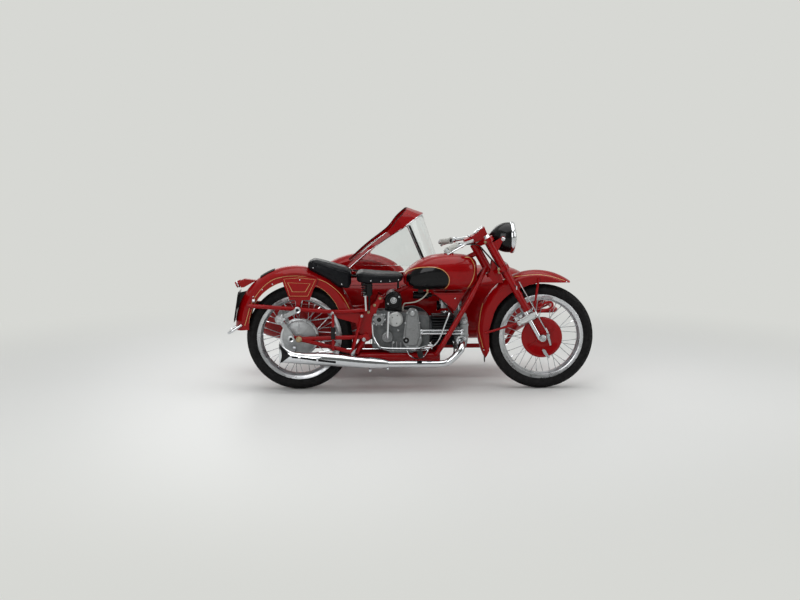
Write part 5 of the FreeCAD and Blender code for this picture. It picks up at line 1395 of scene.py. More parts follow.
    def seam(self, skin: Skin, station: Station, side: int) -> Vector:
        """Find where the piping crosses a station of the cover.

        Args:
            skin: The cover.
            station: The section's x, half width, underside and top.
            side: The bike's right (-1), left (1) or middle (0).

        Returns:
            A point just outside the cover.
        """
        x, half, low, high = station
        point, out = skin.nearest(at(x, self.middle_y + side * half, low + (high - low) * self.seam_share))
        return point + out * self.piping_lift


def seats() -> list[Pad]:
    """List the rider's saddle, the pillion pad and the sidecar's seat.

    Returns:
        The pads, each with its stations: x, half width, underside and top.
    """
    channels = (-116, -39, 39, 116)
    return [
        Pad(
            "rider_saddle", "saddle",
            [(-399, 70, 682, 728), (-388, 112, 674, 735), (-366, 136, 670, 738), (-325, 150, 668, 733),
             (-260, 152, 668, 728), (-195, 145, 669, 725), (-150, 130, 671, 723), (-122, 108, 675, 721),
             (-110, 80, 682, 716)],
            squareness=8, cap=4.5, held_below=676, seam_share=0.72,
            studs=((-308, 688), (-246, 684), (-192, 684), (-138, 690)),
        ),
        Pad(
            "pillion_pad_cover", "pillion_pad",
            [(-696, 74, 757, 788), (-686, 88, 750, 803), (-662, 96, 739, 814), (-600, 99, 705, 799),
             (-560, 99, 682, 788), (-505, 98, 644, 772), (-470, 96, 633, 763), (-445, 90, 632, 754),
             (-433, 76, 640, 742)],
            squareness=8, cap=5, held_below=640, seam_share=0.8,
            studs=((-660, 762), (-486, 662)),
        ),
        Pad(
            "sidecar_seat_cushion", "sidecar_cushion",
            [(-478, 200, 262, 400), (-466, 224, 246, 420), (-420, 231, 240, 426), (-250, 231, 240, 428),
             (-90, 231, 240, 424), (-40, 226, 248, 412), (-24, 204, 266, 388)],
            middle_y=612, squareness=6.5, cap=14, voxel=8, pleats=channels, held_below=262, fill=0.8,
        ),
        Pad(
            "sidecar_seat_back", "sidecar_backrest",
            [(-588, 200, 280, 620), (-580, 224, 258, 638), (-556, 231, 250, 646), (-524, 231, 250, 646),
             (-496, 224, 258, 638), (-484, 202, 280, 620)],
            middle_y=612, squareness=6.5, cap=12, voxel=8, pleats=channels, held_below=262, fill=0.8,
        ),
    ]


# Tank, guards and boxes

TANK_PANEL = (
    (-98, 713), (-80, 737), (-34, 757), (25, 766), (80, 766), (127, 751), (156, 723), (167, 696),
    (162, 663), (145, 638), (118, 627), (47, 625), (-34, 625), (-76, 628), (-96, 647), (-101, 680),
)
PANEL_EDGE = (
    (-96, 722), (-80, 739), (-34, 760), (25, 769), (80, 769), (129, 754), (159, 725), (170, 696),
    (165, 662), (148, 636), (137, 627),
)
TANK_FRONT = ((268, 826), (300, 821), (319, 794), (327, 760), (323, 722), (309, 680), (284, 634))


@dataclass
class Tank:
    """The tank's black side panels, its gold lines, filler cap and fuel tap."""

    cap_x: float = 175.0
    cap_z: float = 850.0

    def build(self) -> None:
        """Paint the sides, then fit the cap and the tap."""
        skin = Skin("fuel_tank")
        panels, lines = Shape(), Shape()
        for side in SIDES:
            heading = LEFT * -side
            panels.patch(skin, eased(points_of(side * FAR, *TANK_PANEL), 7, closed=True), heading, 0.5, 1.5)
            for edge in (PANEL_EDGE, TANK_FRONT):
                CoachLines(3.6, 0.8).outline(lines, skin, eased(points_of(side * FAR, *edge), 6), heading, False)
        panels.piece("tank_side_panels", BLACK, crease=60)
        lines.piece("tank_gold_lines", GOLD_LINE)
        self.cap()
        self.tap()

    def cap(self) -> None:
        """Turn the filler cap with its milled edge."""
        shape = Shape()
        base, teeth, radius = at(self.cap_x, 0, self.cap_z), 40, 31
        profile = [(31, -4), (31, 3), (28, 5), (28, 7), (31, 8), (31, 13), (29, 15.5), (20, 17), (1, 18)]
        shape.turned(profile, base, UP, teeth)
        for tooth in range(teeth):
            angle = TURN * (tooth + 0.5) / teeth
            foot = base + at(math.cos(angle), math.sin(angle), 0) * radius
            shape.tube([foot + UP * 8.5, foot + UP * 12.5], 1.3, 6)
        shape.piece("tank_filler_cap", CHROME, crease=30, slot=Slot.RED)

    def tap(self) -> None:
        """Screw in the fuel tap and run its pipe to the carburettor."""
        skin = Skin("fuel_tank")
        foot, _ = skin.met(at(40, -70, 400), UP)
        fitting, pipe = Shape(), Shape()
        fitting.turned([(1, 3), (8.5, 3), (8.5, -8), (6, -10), (6, -22), (4, -24), (1, -24)], foot, UP, 18)
        fitting.tube([foot - UP * 14 - LEFT * 6, foot - UP * 14 - LEFT * 20], 4, 10)
        fitting.tube([foot - UP * 14 - LEFT * 18, foot - UP * 30 - LEFT * 22 - AHEAD * 6], 2.4, 8)
        route = [foot - UP * 22, *places(
            (12, -68, 574), (-30, -64, 550), (-70, -60, 543), (-100, -56, 538), (-110, -50, 516), (-110, -48, 494),
        )]
        pipe.tube(eased(route, 8), 4.2, 10)
        fitting.piece("fuel_tap", CADMIUM)
        pipe.piece("fuel_pipe", PALE_HOSE)


@dataclass
class Mudguards:
    """The guards' gold lines, rivets, mudflap and rubber strip."""

    rear_line: tuple[Pair, ...] = (
        (-1082, 408), (-1066, 461), (-1042, 538), (-988, 622), (-919, 683), (-850, 706), (-776, 713), (-698, 706),
        (-622, 690), (-562, 660), (-501, 606), (-463, 552), (-433, 490),
    )
    front_line: tuple[Pair, ...] = (
        (387, 260), (376, 305), (364, 351), (362, 396), (367, 441), (374, 487), (393, 547), (415, 592), (452, 637),
        (505, 674), (564, 697), (631, 709), (706, 715), (766, 711), (826, 698), (890, 676),
    )

    def build(self) -> None:
        """Line both guards and fit what is riveted to them."""
        self.lines()
        self.rear_fittings()
        self.front_fittings()

    def lines(self) -> None:
        """Lay the gold lines along both sides of each guard."""
        rear, front = Shape(), Shape()
        rear_skin, front_skin = Skin("rear_mudguard"), Skin("front_mudguard")
        for side in SIDES:
            heading = LEFT * -side
            CoachLines(3, 0.7).outline(
                rear, rear_skin, eased(points_of(side * FAR, *self.rear_line), 8), heading, False,
            )
            CoachLines(1.6, 0.7).arc(rear, rear_skin, at(-772, 0, 400), 285, 20, 176, side)
            CoachLines(2.4, 0.7).outline(
                front, front_skin, eased(points_of(side * FAR, *self.front_line), 8), heading, False,
            )
        rear.piece("rear_guard_gold_lines", GOLD_LINE)
        front.piece("front_guard_gold_lines", GOLD_LINE, Body.STEERING)

    def rear_fittings(self) -> None:
        """Set the rear guard's rivets and the rubber strip over its hinge."""
        skin = Skin("rear_mudguard")
        heads, strip = Shape(), Shape()
        rivets(heads, skin, ((-973, 629), (-1028, 586), (-911, 662), (-470, 600)), 4, 2.4)
        outline = [at(x, y, 1100) for x, y in ((-985, -36), (-900, -36), (-900, 36), (-985, 36))]
        strip.patch(skin, self.filled(outline), -UP, 5, 1.5)
        heads.piece("rear_guard_rivets", CHROME)
        strip.piece("rear_guard_hinge_rubber", RUBBER, crease=40)

    def filled(self, corners: list[Vector]) -> list[Vector]:
        """Set points along an outline's straight sides.

        Args:
            corners: The outline's corners.

        Returns:
            The outline's points.
        """
        steps = 8
        outline = []
        for index, corner in enumerate(corners):
            beyond = corners[(index + 1) % len(corners)]
            outline += [corner.lerp(beyond, step / steps) for step in range(steps)]
        return outline

    def front_fittings(self) -> None:
        """Hang the mudflap and cap the front guard's ends."""
        flap, tips = Shape(), Shape()
        outline = [at(402, y, z) for y, z in ((-40, 226), (40, 226), (30, 170), (0, 160), (-30, 170))]
        flap.slab(outline, AHEAD * -3, 0.8)
        flap.piece("front_mudflap", RUBBER, Body.STEERING)
        rivets(tips, Skin("front_mudguard"), ((902, 668), (392, 246)), 5, 3)
        tips.piece("front_guard_rivets", CHROME, Body.STEERING)


@dataclass
class Toolboxes:
    """The raised lids, gold lines and knobs of the four boxes."""

    rear_lid: tuple[Pair, ...] = (
        (-851, 694), (-842, 704), (-800, 710), (-742, 712), (-684, 708), (-640, 700), (-634, 688),
        (-646, 652), (-688, 582), (-808, 584), (-838, 650),
    )
    rear_gold: tuple[Pair, ...] = ((-817, 675), (-677, 668), (-707, 617), (-789, 617))
    front_lid: tuple[Pair, ...] = ((96, 598), (251, 598), (208, 508))
    rear_neck: tuple[Pair, ...] = ((-786, 582), (-708, 582), (-736, 556), (-748, 520), (-768, 520), (-768, 556))
    rear_fine: tuple[Pair, ...] = ((-840, 697), (-742, 704), (-645, 693), (-694, 590), (-804, 591))
    rear_y: float = 100.0
    front_y: float = 88.0

    def build(self) -> None:
        """Press the lids and line them."""
        lids, lines, knobs = Shape(), Shape(), Shape()
        for side in SIDES:
            out = LEFT * side
            lids.slab(points_of(side * self.rear_y, *self.rear_lid), out * 5, 2)
            lids.slab(points_of(side * self.front_y, *self.rear_neck), out * 8, 1.5)
            self.border(lines, self.rear_gold, side, 2.6)
            self.border(lines, self.rear_fine, side, 1.6)
            lids.slab(points_of(side * self.front_y, *self.front_lid), out * 4, 1.6)
            knobs.button(at(209, side * 92, 573), out, 6, 6)
            knobs.button(at(-742, side * 105, 690), out, 4.5, 4)
        lids.piece("toolbox_lids", RED, crease=30)
        lines.piece("toolbox_gold_lines", GOLD_LINE)
        knobs.piece("toolbox_knobs", CHROME)

    def border(self, shape: Shape, corners: tuple[Pair, ...], side: int, width: float) -> None:
        """Lay a closed gold line on a rear lid, wider at its corners by their mitre.

        Args:
            shape: The piece that the line joins.
            corners: The line's outer corners.
            side: The bike's right (-1) or left (1).
            width: The line's width.
        """
        lid_height, mitre = 5.2, 1.3
        points = points_of(side * (self.rear_y + lid_height), *corners)
        middle = sum(points, Vector()) / len(points)
        inner = [point + (middle - point).normalized() * width * mitre for point in points]
        shape.band(list(zip(points, inner)), [LEFT * side] * len(points), 0.5, 0.4, True)


# Engine, exhaust and drive

@dataclass
class Engine:
    """The level single cylinder, its covers, carburettor and pipes."""

    shaft_z: float = 372.0
    case_y: float = 84.0
    barrel: Pair = (54.0, 205.0)
    head: Pair = (207.0, 262.0)
    fin_wall: float = 2.6
    fin_edge: float = 0.7
    fin_corner: float = 4.0
    fin_narrowing: float = 0.45
    timing_line: tuple[Pair, ...] = (
        (-54, 512), (-34, 508), (-20, 492), (-14, 470), (-8, 430), (-2, 380), (1, 330), (-4, 296), (-24, 270),
        (-54, 264), (-84, 270), (-104, 296), (-109, 330), (-106, 380), (-100, 430), (-94, 470), (-88, 492),
        (-74, 508),
    )

    def build(self) -> None:
        """Dress the engine from its cylinder back."""
        self.cylinder()
        self.cylinder_head()
        self.timing_side()
        self.covers()
        self.dynamo()
        self.carburettor()
        self.ignition()
        self.intake()
        self.pipes()

    def fins(self, shape: Shape, span: Pair, half_width: float, half_height: float, count: int) -> None:
        """Cast level fins inside a rounded outline.

        Args:
            shape: The piece that the fins join.
            span: Where they start and end along the bike.
            half_width: Half the width of the middle fin.
            half_height: Half the height that they share.
            count: How many there are.
        """
        start, end = span
        for index in range(count):
            share = 2 * index / (count - 1) - 1
            half = half_width * (1 - abs(share) ** 4 * self.fin_narrowing)
            z = self.shaft_z + share * (half_height - self.fin_wall)
            cut = self.fin_corner
            corners = ((start, cut - half), (start + cut, -half), (end - cut, -half), (end, cut - half))
            outline = [at(x, y, z - self.fin_wall / 2) for x, y in corners]
            outline += [at(x, -y, z - self.fin_wall / 2) for x, y in reversed(corners)]
            shape.slab(outline, UP * self.fin_wall, self.fin_edge)

    def cylinder(self) -> None:
        """Make the iron barrel with its fins along the cylinder."""
        shape = Shape()
        start, end = self.barrel
        centre = at(start, 0, self.shaft_z)
        length = end - start
        shape.turned(
            [(1, 0.5), (84, 0.5), (84, 12), (66, 16), (64, length - 10), (80, length - 6), (80, length), (1, length)],
            centre, AHEAD, 48,
        )
        self.fins(shape, (start + 14, end - 6), 93, 94, 12)
        shape.piece("finned_cylinder_barrel", IRON, crease=30, replaced=("cylinder",))

    def cylinder_head(self) -> None:
        """Cast the head with its fins, rocker box, caps and studs."""
        head, bright = Shape(), Shape()
        start, end = self.head
        core = ((-60, 300), (-68, 320), (-68, 424), (-60, 446), (60, 446), (68, 424), (68, 320), (60, 300))
        head.slab([at(start, y, z) for y, z in core], AHEAD * (end - start + 4), 5)
        self.fins(head, (start + 2, end - 4), 95, 121, 15)
        box = points_of(
            -70, (250, 258), (272, 262), (288, 292), (292, 330), (292, 414), (288, 452), (272, 484), (250, 490),
            (240, 470), (240, 276),
        )
        head.slab(box, LEFT * 140, 7)
        for z in (318, 430):
            half = [(17, 66), (20, 70), (20, 88), (17, 92), (1, 92)]
            profile = [(radius, -y) for radius, y in reversed(half)] + half
            head.turned(profile, at(268, 0, z), LEFT, 28)
            for side in SIDES:
                bright.bolt(at(268, side * 92, z), LEFT * side, 17)
        for z in (276, 340, 404, 470):
            for y in (-58, 58):
                bright.bolt(at(289 if 300 < z < 450 else 276, y, z), AHEAD, 10)
        for side in SIDES:
            for z in (296, 374, 452):
                bright.bolt(at(244, side * 71, z), LEFT * side, 10)
        self.spark_plug(bright)
        head.piece("finned_cylinder_head", ALLOY, crease=30, replaced=("cylinder_head",))
        bright.piece("cylinder_head_nuts", BRIGHT_STEEL)

    def spark_plug(self, shape: Shape) -> None:
        """Screw in the spark plug with its cap.

        Args:
            shape: The piece that it joins.
        """
        seat = at(226, -84, 396)
        out = at(0.25, -1, 0.35).normalized()
        shape.bolt(seat, out, 20)
        shape.turned([(6.5, 8), (6.5, 22), (5, 24), (5, 34), (1, 35)], seat, out, 16)

    def timing_side(self) -> None:
        """Raise the timing cover's rim, its ribs, cap and screws."""
        cover, bright, dark = Shape(), Shape(), Shape()
        skin = Skin("timing_cover")
        middle = at(-54, -FAR, 372)
        self.timing_rim(cover, skin, middle)
        cap_seat, plug_seat = at(-54, -114, 484), at(-92, -117, 318)
        cover.turned([(1, 8.5), (19, 8.5), (22, 5), (23, 0), (23, -12)], cap_seat, -LEFT, 32)
        cover.slab(points_of(-118, (-54, 378), (-46, 384), (-20, 328), (-28, 322)), -LEFT * 5, 2)
        cover.slab(points_of(-118, (-72, 392), (-36, 392), (-36, 386), (-72, 386)), -LEFT * 4, 1.5)
        bright.turned([(1, 13), (12, 13), (14, 11), (14, 5)], cap_seat, -LEFT, 24)
        dark.turned([(1, 7), (14, 7), (18, 4), (19, -2)], plug_seat, -LEFT, 26)
        bright.turned([(1, 10), (5, 10), (6, 6.5)], plug_seat, -LEFT, 16)
        for index in (1, 4, 6, 8, 10, 12, 14, 16):
            point, = points_of(-FAR, self.timing_line[index])
            met = skin.met(point + (middle - point).normalized() * 6, LEFT)
            if met:
                bright.bolt(met[0] - LEFT * 2, -LEFT, 8, 16)
        cover.piece("timing_cover_ribs", CAST_COVER, crease=30)
        bright.piece("timing_cover_screws", BRIGHT_STEEL)
        dark.piece("timing_side_plug", RUBBER)

    def timing_rim(self, cover: Shape, skin: Skin, middle: Vector) -> None:
        """Raise the timing cover's rim and the dome inside it.

        Args:
            cover: The piece that they join.
            skin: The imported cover.
            middle: A point well outside the cover's middle.
        """
        edges = []
        for point in eased(points_of(-FAR, *self.timing_line), 8, closed=True):
            inward = (middle - point).normalized()
            first, second = skin.met(point + inward * 2, LEFT), skin.met(point + inward * 10, LEFT)
            if first and second:
                edges.append((first[0], second[0]))
        cover.band(edges, [-LEFT] * len(edges), 2.6, 2, True)
        dome, rim_width = [], 12 / 0.9
        for point in points_of(-FAR, *self.timing_line[::2]):
            inner = point + (middle - point).normalized() * rim_width
            dome.append(at(inner.x, -113, inner.z))
        cover.slab(dome, -LEFT * 6, 5)

    def covers(self) -> None:
        """Turn the round covers, lay dark discs in their holes as painted shade, and bolt the cases together."""
        pale, cast, bright, dark = Shape(), Shape(), Shape(), Shape()
        face = -self.case_y
        pale.turned(
            [(1, 26), (34, 26), (36, 24), (38, 26), (43, 24), (46, 20), (46, -2)], at(-156, face, 446), -LEFT, 44,
        )
        # Painted shade: three small dark discs on the round cover stand for the shade inside its holes.
        for x, z in ((-176, 458), (-146, 470), (-150, 422)):
            dark.turned([(1, 0.8), (3.4, 0.8), (3.8, -1)], at(x, face - 26, z), -LEFT, 12)
        cast.turned(
            [(14, 24), (30, 24), (33, 21), (38, 21), (41, 17), (41, -2), (14, -2)], at(-258, face, 444), -LEFT, 40,
            closed=True,
        )
        # Painted shade: a dark disc fills the gearbox cover's middle hole.
        dark.turned([(1, 22.6), (16, 22.6), (16, 18)], at(-258, face, 444), -LEFT, 20)
        cast.turned(
            [(1, 27), (15, 27), (18, 23), (24, 23), (27, 26), (31, 25), (34, 20), (34, -2)], at(-207, face, 336),
            -LEFT, 36,
        )
        for low, high, x in ((256, 300, -176), (256, 306, -150), (256, 300, -124)):
            cast.slab(points_of(face + 2, (x - 3, low), (x + 3, low), (x + 3, high), (x - 3, high)), -LEFT * 9, 1.5)
        skin = Skin("crankcase")
        fasten(
            bright, skin, -1, 10,
            [(-284, 474), (-292, 420), (-226, 470), (-284, 300), (-250, 262), (-140, 376), (-170, 300)],
        )
        hub, reach = (-258, 444), 35
        ring = [(hub[0] + reach * math.cos(angle), hub[1] + reach * math.sin(angle)) for angle in turns(6)]
        fasten(bright, skin, -1, 7.5, ring, 14)
        fasten(bright, skin, 1, 10, [(-284, 470), (-284, 300), (-240, 262)])
        pale.piece("round_gear_cover", PALE_ALLOY, crease=25)
        cast.piece("gearbox_covers", CAST_COVER, crease=30)
        bright.piece("crankcase_screws", BRIGHT_STEEL)
        dark.piece("crankcase_hole_shade_discs", RUBBER)

    def dynamo(self) -> None:
        """Cap the dynamo's ends and set its bolts."""
        black, bright = Shape(), Shape()
        for side in SIDES:
            centre = at(-169, side * 84, 562)
            black.turned(
                [(20, 12), (34, 12), (38, 8), (46, 8), (50, 5), (52.5, 0), (52.5, -16), (20, -16)], centre,
                LEFT * side, 40, closed=True,
            )
            bright.turned([(1, 14), (11, 14), (14, 11), (20.5, 11), (20.5, 2)], centre, LEFT * side, 28)
            for way in (1, -1):
                bright.bolt(centre + at(33 * way, side * 8, 20 * way), LEFT * side, 9)
        black.piece("dynamo_end_caps", BLACK, crease=30)
        bright.piece("dynamo_bearings", BRIGHT_STEEL)

    def carburettor(self) -> None:
        """Add the float chamber's caps and the intake's clamps."""
        bright, skin = Shape(), Skin("carburettor")
        centre = at(150, 0, 524)
        bright.turned([(1, 58), (8, 58), (9, 54), (24, 52), (26, 48), (26, 36)], centre, UP, 26)
        bright.turned([(1, -58), (10, -58), (12, -52), (24, -50), (25, -42)], centre, UP, 26)
        for x in (132, 196, 236):
            collar(bright, skin, at(x, 0, 520), AHEAD, 6, 2)
        bright.piece("carburettor_caps", BRIGHT_STEEL, crease=25)

    def intake(self) -> None:
        """Flare the carburettor's bell mouth."""
        bell = Shape()
        profile = [(25, 0), (29, -10), (32, -20), (30, -20), (24, -8), (22, 0)]
        bell.turned(profile, at(122, 0, 520), AHEAD, 28, closed=True)
        bell.piece("intake_bell", BLACK, crease=30)

    def ignition(self) -> None:
        """Hang the coil under the tank, with its lead to the plug, and lead the throttle's cable up."""
        coil, leads = Shape(), Shape()
        start = at(-46, 6, 584)
        coil.turned(
            [(1, 0), (20, 0), (23, 3), (23, 92), (19, 96), (15, 98), (12, 116), (5, 118), (1, 118)], start, AHEAD, 30,
        )
        bracket = [start + point for point in points_of(-20, (30, 16), (64, 16), (64, 46), (30, 46))]
        coil.slab(bracket, LEFT * 4, 1)
        lead = [start + AHEAD * 114, *places(
            (96, -4, 582), (128, -48, 560), (170, -96, 506), (216, -120, 446), (234, -117, 409),
        )]
        leads.tube(eased(lead, 10), 3.8, 10)
        cap, cap_axis = at(232.5, -112, 405), at(0.1, -0.5, 0.86).normalized()
        leads.turned([(5, -4), (8, -2), (9, 12), (7, 20), (4, 24)], cap, cap_axis, 16)
        cable = places((150, 0, 578), (152, -8, 600), (172, -16, 622), (206, -18, 640))
        leads.tube(eased(cable, 8), 3, 8)
        coil.piece("ignition_coil", BLACK, crease=30)
        leads.piece("ignition_and_throttle_leads", RUBBER)

    def pipes(self) -> None:
        """Bend the oil pipes, the guard rail round the case and the pushrod tubes' caps."""
        chrome, oil, dark = Shape(), Shape(), Shape()
        y = -132
        rail = points_of(
            y, (-300, 428), (-293, 348), (-259, 286), (-216, 272), (-100, 269), (23, 271), (72, 283), (112, 330),
            (146, 420), (172, 486),
        )
        chrome.tube([rail[0] + LEFT * 40 + UP * 12] + eased(rail, 12) + [rail[-1] + LEFT * 34 + UP * 10], 4.6, 10)
        under = points_of(y + 10, (-268, 276), (-200, 256), (-100, 254), (10, 256), (52, 268))
        chrome.tube(eased(under, 12), 3.6, 8)
        bend = points_of(-118, (-87, 262), (-72, 228), (-34, 206), (8, 212), (36, 245), (44, 262))
        chrome.tube([bend[0] + LEFT * 20] + eased(bend, 6) + [bend[-1] + LEFT * 30], 3.6, 8)
        for shift, drop in ((0, 0), (24, 10), (46, 26)):
            curve = places(
                (196 + shift, -52, 292), (206 + shift, -62, 262), (204 + shift * 0.8, -74, 232 + drop * 0.2),
                (186 + shift * 0.5, -92, 208), (150 + shift * 0.3, -116, 194),
            )
            (oil if shift else dark).tube(eased(curve, 6), 4.4, 10)
        for end, x in ((-1, 2), (1, 250)):
            for z in (357, 375):
                chrome.turned([(1, -6), (9, -6), (10, -3), (10, 6), (8, 9), (5, 9)], at(x, -104, z), AHEAD * -end, 18)
        chrome.piece("engine_guard_rail", CHROME)
        oil.piece("oil_pipes", BRIGHT_STEEL)
        dark.piece("breather_pipe", RUBBER)


@dataclass
class Exhaust:
    """The bent pipe, its clamps and finned nut, and black laid along the silencer as a painted dark reflection."""

    silencer_y: float = -160.0
    pipe_z: float = 176.6
    pipe_radius: float = 21.0
    axis_points: tuple[Pair, ...] = ((-206, 178), (-314, 184), (-497, 202), (-635, 212), (-745, 216))

    def build(self) -> None:
        """Bend the pipe, clamp the silencer to it, paint a dark reflection in black along it and on its mouth, and
        seat the finned nut.
        """
        self.pipe()
        self.clamps()
        self.dark_reflection()
        self.finned_nut()

    def clamps(self) -> None:
        """Wrap the silencer's clamps and bolt them."""
        bands, skin = Shape(), Skin("silencer")
        for index, width, lift in ((0, 14, 3), (1, 12, 2.4), (3, 12, 2.4), (4, 14, 2.4)):
            x, z = self.axis_points[index]
            before = self.axis_points[max(0, index - 1)]
            after = self.axis_points[min(len(self.axis_points) - 1, index + 1)]
            axis = at(after[0] - before[0], 0, after[1] - before[1]).normalized()
            collar(bands, skin, at(x, self.silencer_y, z), axis, width, lift)
        for x, z in ((-206, 152), (-314, 140)):
            bands.bolt(at(x, self.silencer_y - 10, z), -LEFT, 12)
            bands.bolt(at(x, self.silencer_y + 10, z), LEFT, 10)
        bands.piece("silencer_clamps", CHROME)

    def dark_reflection(self) -> None:
        """Paint black along the silencer's top and on its mouth, as a painted dark reflection on the chrome."""
        dark_reflection, skin = Shape(), Skin("silencer")
        # Painted dark reflection: black laid over the chrome where the silencer and its fishtail look dark.
        line = points_of(-FAR, (-790, 228), (-700, 219), (-631, 210), (-522, 197))
        CoachLines(13, 1.8).outline(dark_reflection, skin, eased(line, 10), LEFT, False)
        mouth = points_of(-FAR, (-863, 300), (-838, 274), (-798, 234), (-826, 212), (-846, 196), (-862, 190))
        dark_reflection.patch(skin, mouth, LEFT, 2.2, 2)
        dark_reflection.piece("silencer_painted_dark_reflection", BLACK)

    def pipe(self) -> None:
        """Bend the pipe smoothly from the head down and back to the silencer."""
        pipe = Shape()
        y, z = self.silencer_y, self.pipe_z
        bend = places(
            (250, -78, 306), (250, -118, 294), (244, -148, 268), (222, y, 240), (190, y, 208), (156, y, 185),
            (116, y, z + 1), (70, y, z), (0, y, z), (-204, y, z),
        )
        pipe.tube(eased(bend, 9), self.pipe_radius, 28)
        pipe.piece("bent_exhaust_pipe", CHROME, crease=60, replaced=("exhaust_pipe",))

    def finned_nut(self) -> None:
        """Seat the header's finned nut on the head."""
        shape = Shape()
        seat, rings, step = at(250, -60, 311), 5, 6
        for low in range(0, rings * step, step):
            profile = [(20, low), (31, low + 0.5), (31, low + 3), (20, low + 3.6)]
            shape.turned(profile, seat, -LEFT, 30, closed=True)
        shape.piece("header_finned_nut", CHROME, crease=30)


@dataclass
class Drive:
    """The roller chain, its sprockets and the rear brake."""

    front_centre: Vector = field(default_factory=lambda: at(-258.0, 62.0, 444.0))
    rear_centre: Vector = field(default_factory=lambda: at(-750.0, 62.0, 326.5))
    front_radius: float = 34.0
    rear_radius: float = 84.0
    pitch: float = 15.9
    plate_end: float = 3.4
    plate_half: float = 3.2
    waist_half: float = 2.2
    plate_wall: float = 1.4
    inner_plate_y: float = 4.4
    outer_plate_y: float = 6.2
    roller_radius: float = 4.0
    tooth_rise: float = 3.5
    tooth_dip: float = 4.0
    sprocket_wall: float = 3.6

    def build(self) -> None:
        """Run the chain and dress the rear brake."""
        self.chain()
        self.brake()

    def route(self) -> list[Vector]:
        """Run the chain's line round both sprockets.

        Returns:
            A point for each pin.
        """
        gap = self.front_centre - self.rear_centre
        distance = math.hypot(gap.x, gap.z)
        tilt = math.atan2(gap.z, gap.x)
        lean = math.asin((self.rear_radius - self.front_radius) / distance)
        corners = []
        for centre, radius, start, end in (
            (self.rear_centre, self.rear_radius, tilt + math.pi / 2 + lean, tilt + TURN - math.pi / 2 - lean),
            (self.front_centre, self.front_radius, tilt - math.pi / 2 - lean, tilt + math.pi / 2 + lean),
        ):
            steps = 24
            for step in range(steps + 1):
                angle = start + (end - start) * step / steps
                corners.append(centre + swung(radius, angle))
        corners.append(corners[0])
        lengths = [(after - before).length for before, after in zip(corners, corners[1:])]
        pins = 2 * round(sum(lengths) / self.pitch / 2)
        step = sum(lengths) / pins
        points, run, index = [], 0, 0
        for pin in range(pins):
            target = pin * step
            while run + lengths[index] < target:
                run += lengths[index]
                index += 1
            points.append(corners[index].lerp(corners[index + 1], (target - run) / lengths[index]))
        return points

    def chain(self) -> None:
        """Link the plates and rollers, and cut the sprockets."""
        links, sprockets = Shape(), Shape()
        pins = self.route()
        for index, pin in enumerate(pins):
            beyond = pins[(index + 1) % len(pins)]
            along = (beyond - pin).normalized()
            half, narrow = along.cross(LEFT) * self.plate_half, along.cross(LEFT) * self.waist_half
            back, front, waist = pin - along * self.plate_end, beyond + along * self.plate_end, pin.lerp(beyond, 0.5)
            outline = [back + half, back - half, waist - narrow, front - half, front + half, waist + narrow]
            offset = self.outer_plate_y if index % 2 else self.inner_plate_y
            for side in SIDES:
                base = LEFT * (side * offset)
                links.slab([point + base for point in outline], LEFT * (side * self.plate_wall))
            links.tube([pin - LEFT * self.inner_plate_y, pin + LEFT * self.inner_plate_y], self.roller_radius, 8)
        wall = LEFT * self.sprocket_wall
        for centre, radius in ((self.front_centre, self.front_radius), (self.rear_centre, self.rear_radius)):
            teeth = round(TURN * radius / self.pitch)
            outline = []
            for step, angle in enumerate(turns(teeth * 4)):
                reach = radius + (self.tooth_rise if step % 4 in (0, 1) else -self.tooth_dip)
                outline.append(centre - wall / 2 + swung(reach, angle))
            small = [centre + (point - centre) * 0.5 for point in outline]
            sprockets.loft(
                [outline, [point + wall for point in outline], [point + wall for point in small], small], looped=True,
            )
        links.piece("roller_chain", STEEL, crease=30, replaced=("drive_chain",))
        sprockets.piece("chain_sprockets", STEEL, crease=30)

    def brake(self) -> None:
        """Cast the ribbed rear brake plate with its lever and rod."""
        plate, bright = Shape(), Shape()
        centre = REAR_AXLE - LEFT * 47
        plate.turned(
            [(12, 22), (24, 22), (28, 14), (60, 10), (96, 8), (104, 4), (106, -1), (12, -1)], centre, -LEFT, 56,
            closed=True,
        )
        ribs = 9
        for rib in range(ribs):
            outline = spoke_outline(centre - LEFT * 7, TURN * (rib + 0.3) / ribs, (28, 2.4), (98, 2))
            plate.slab(outline, -LEFT * 7, 1.2)
        lever = centre + at(-30, -16, -58)
        bright.tube([lever, lever + at(12, -4, -56)], 5, 10)
        bright.tube([lever + at(12, -6, -52), at(-500, -86, 262), at(-60, -104, 262)], 3.2, 8)
        bright.bolt(lever - LEFT * 3, -LEFT, 15)
        plate.piece("rear_brake_plate", ALLOY, crease=30)
        bright.piece("rear_brake_rod", CHROME)


# Fork, controls and lamps

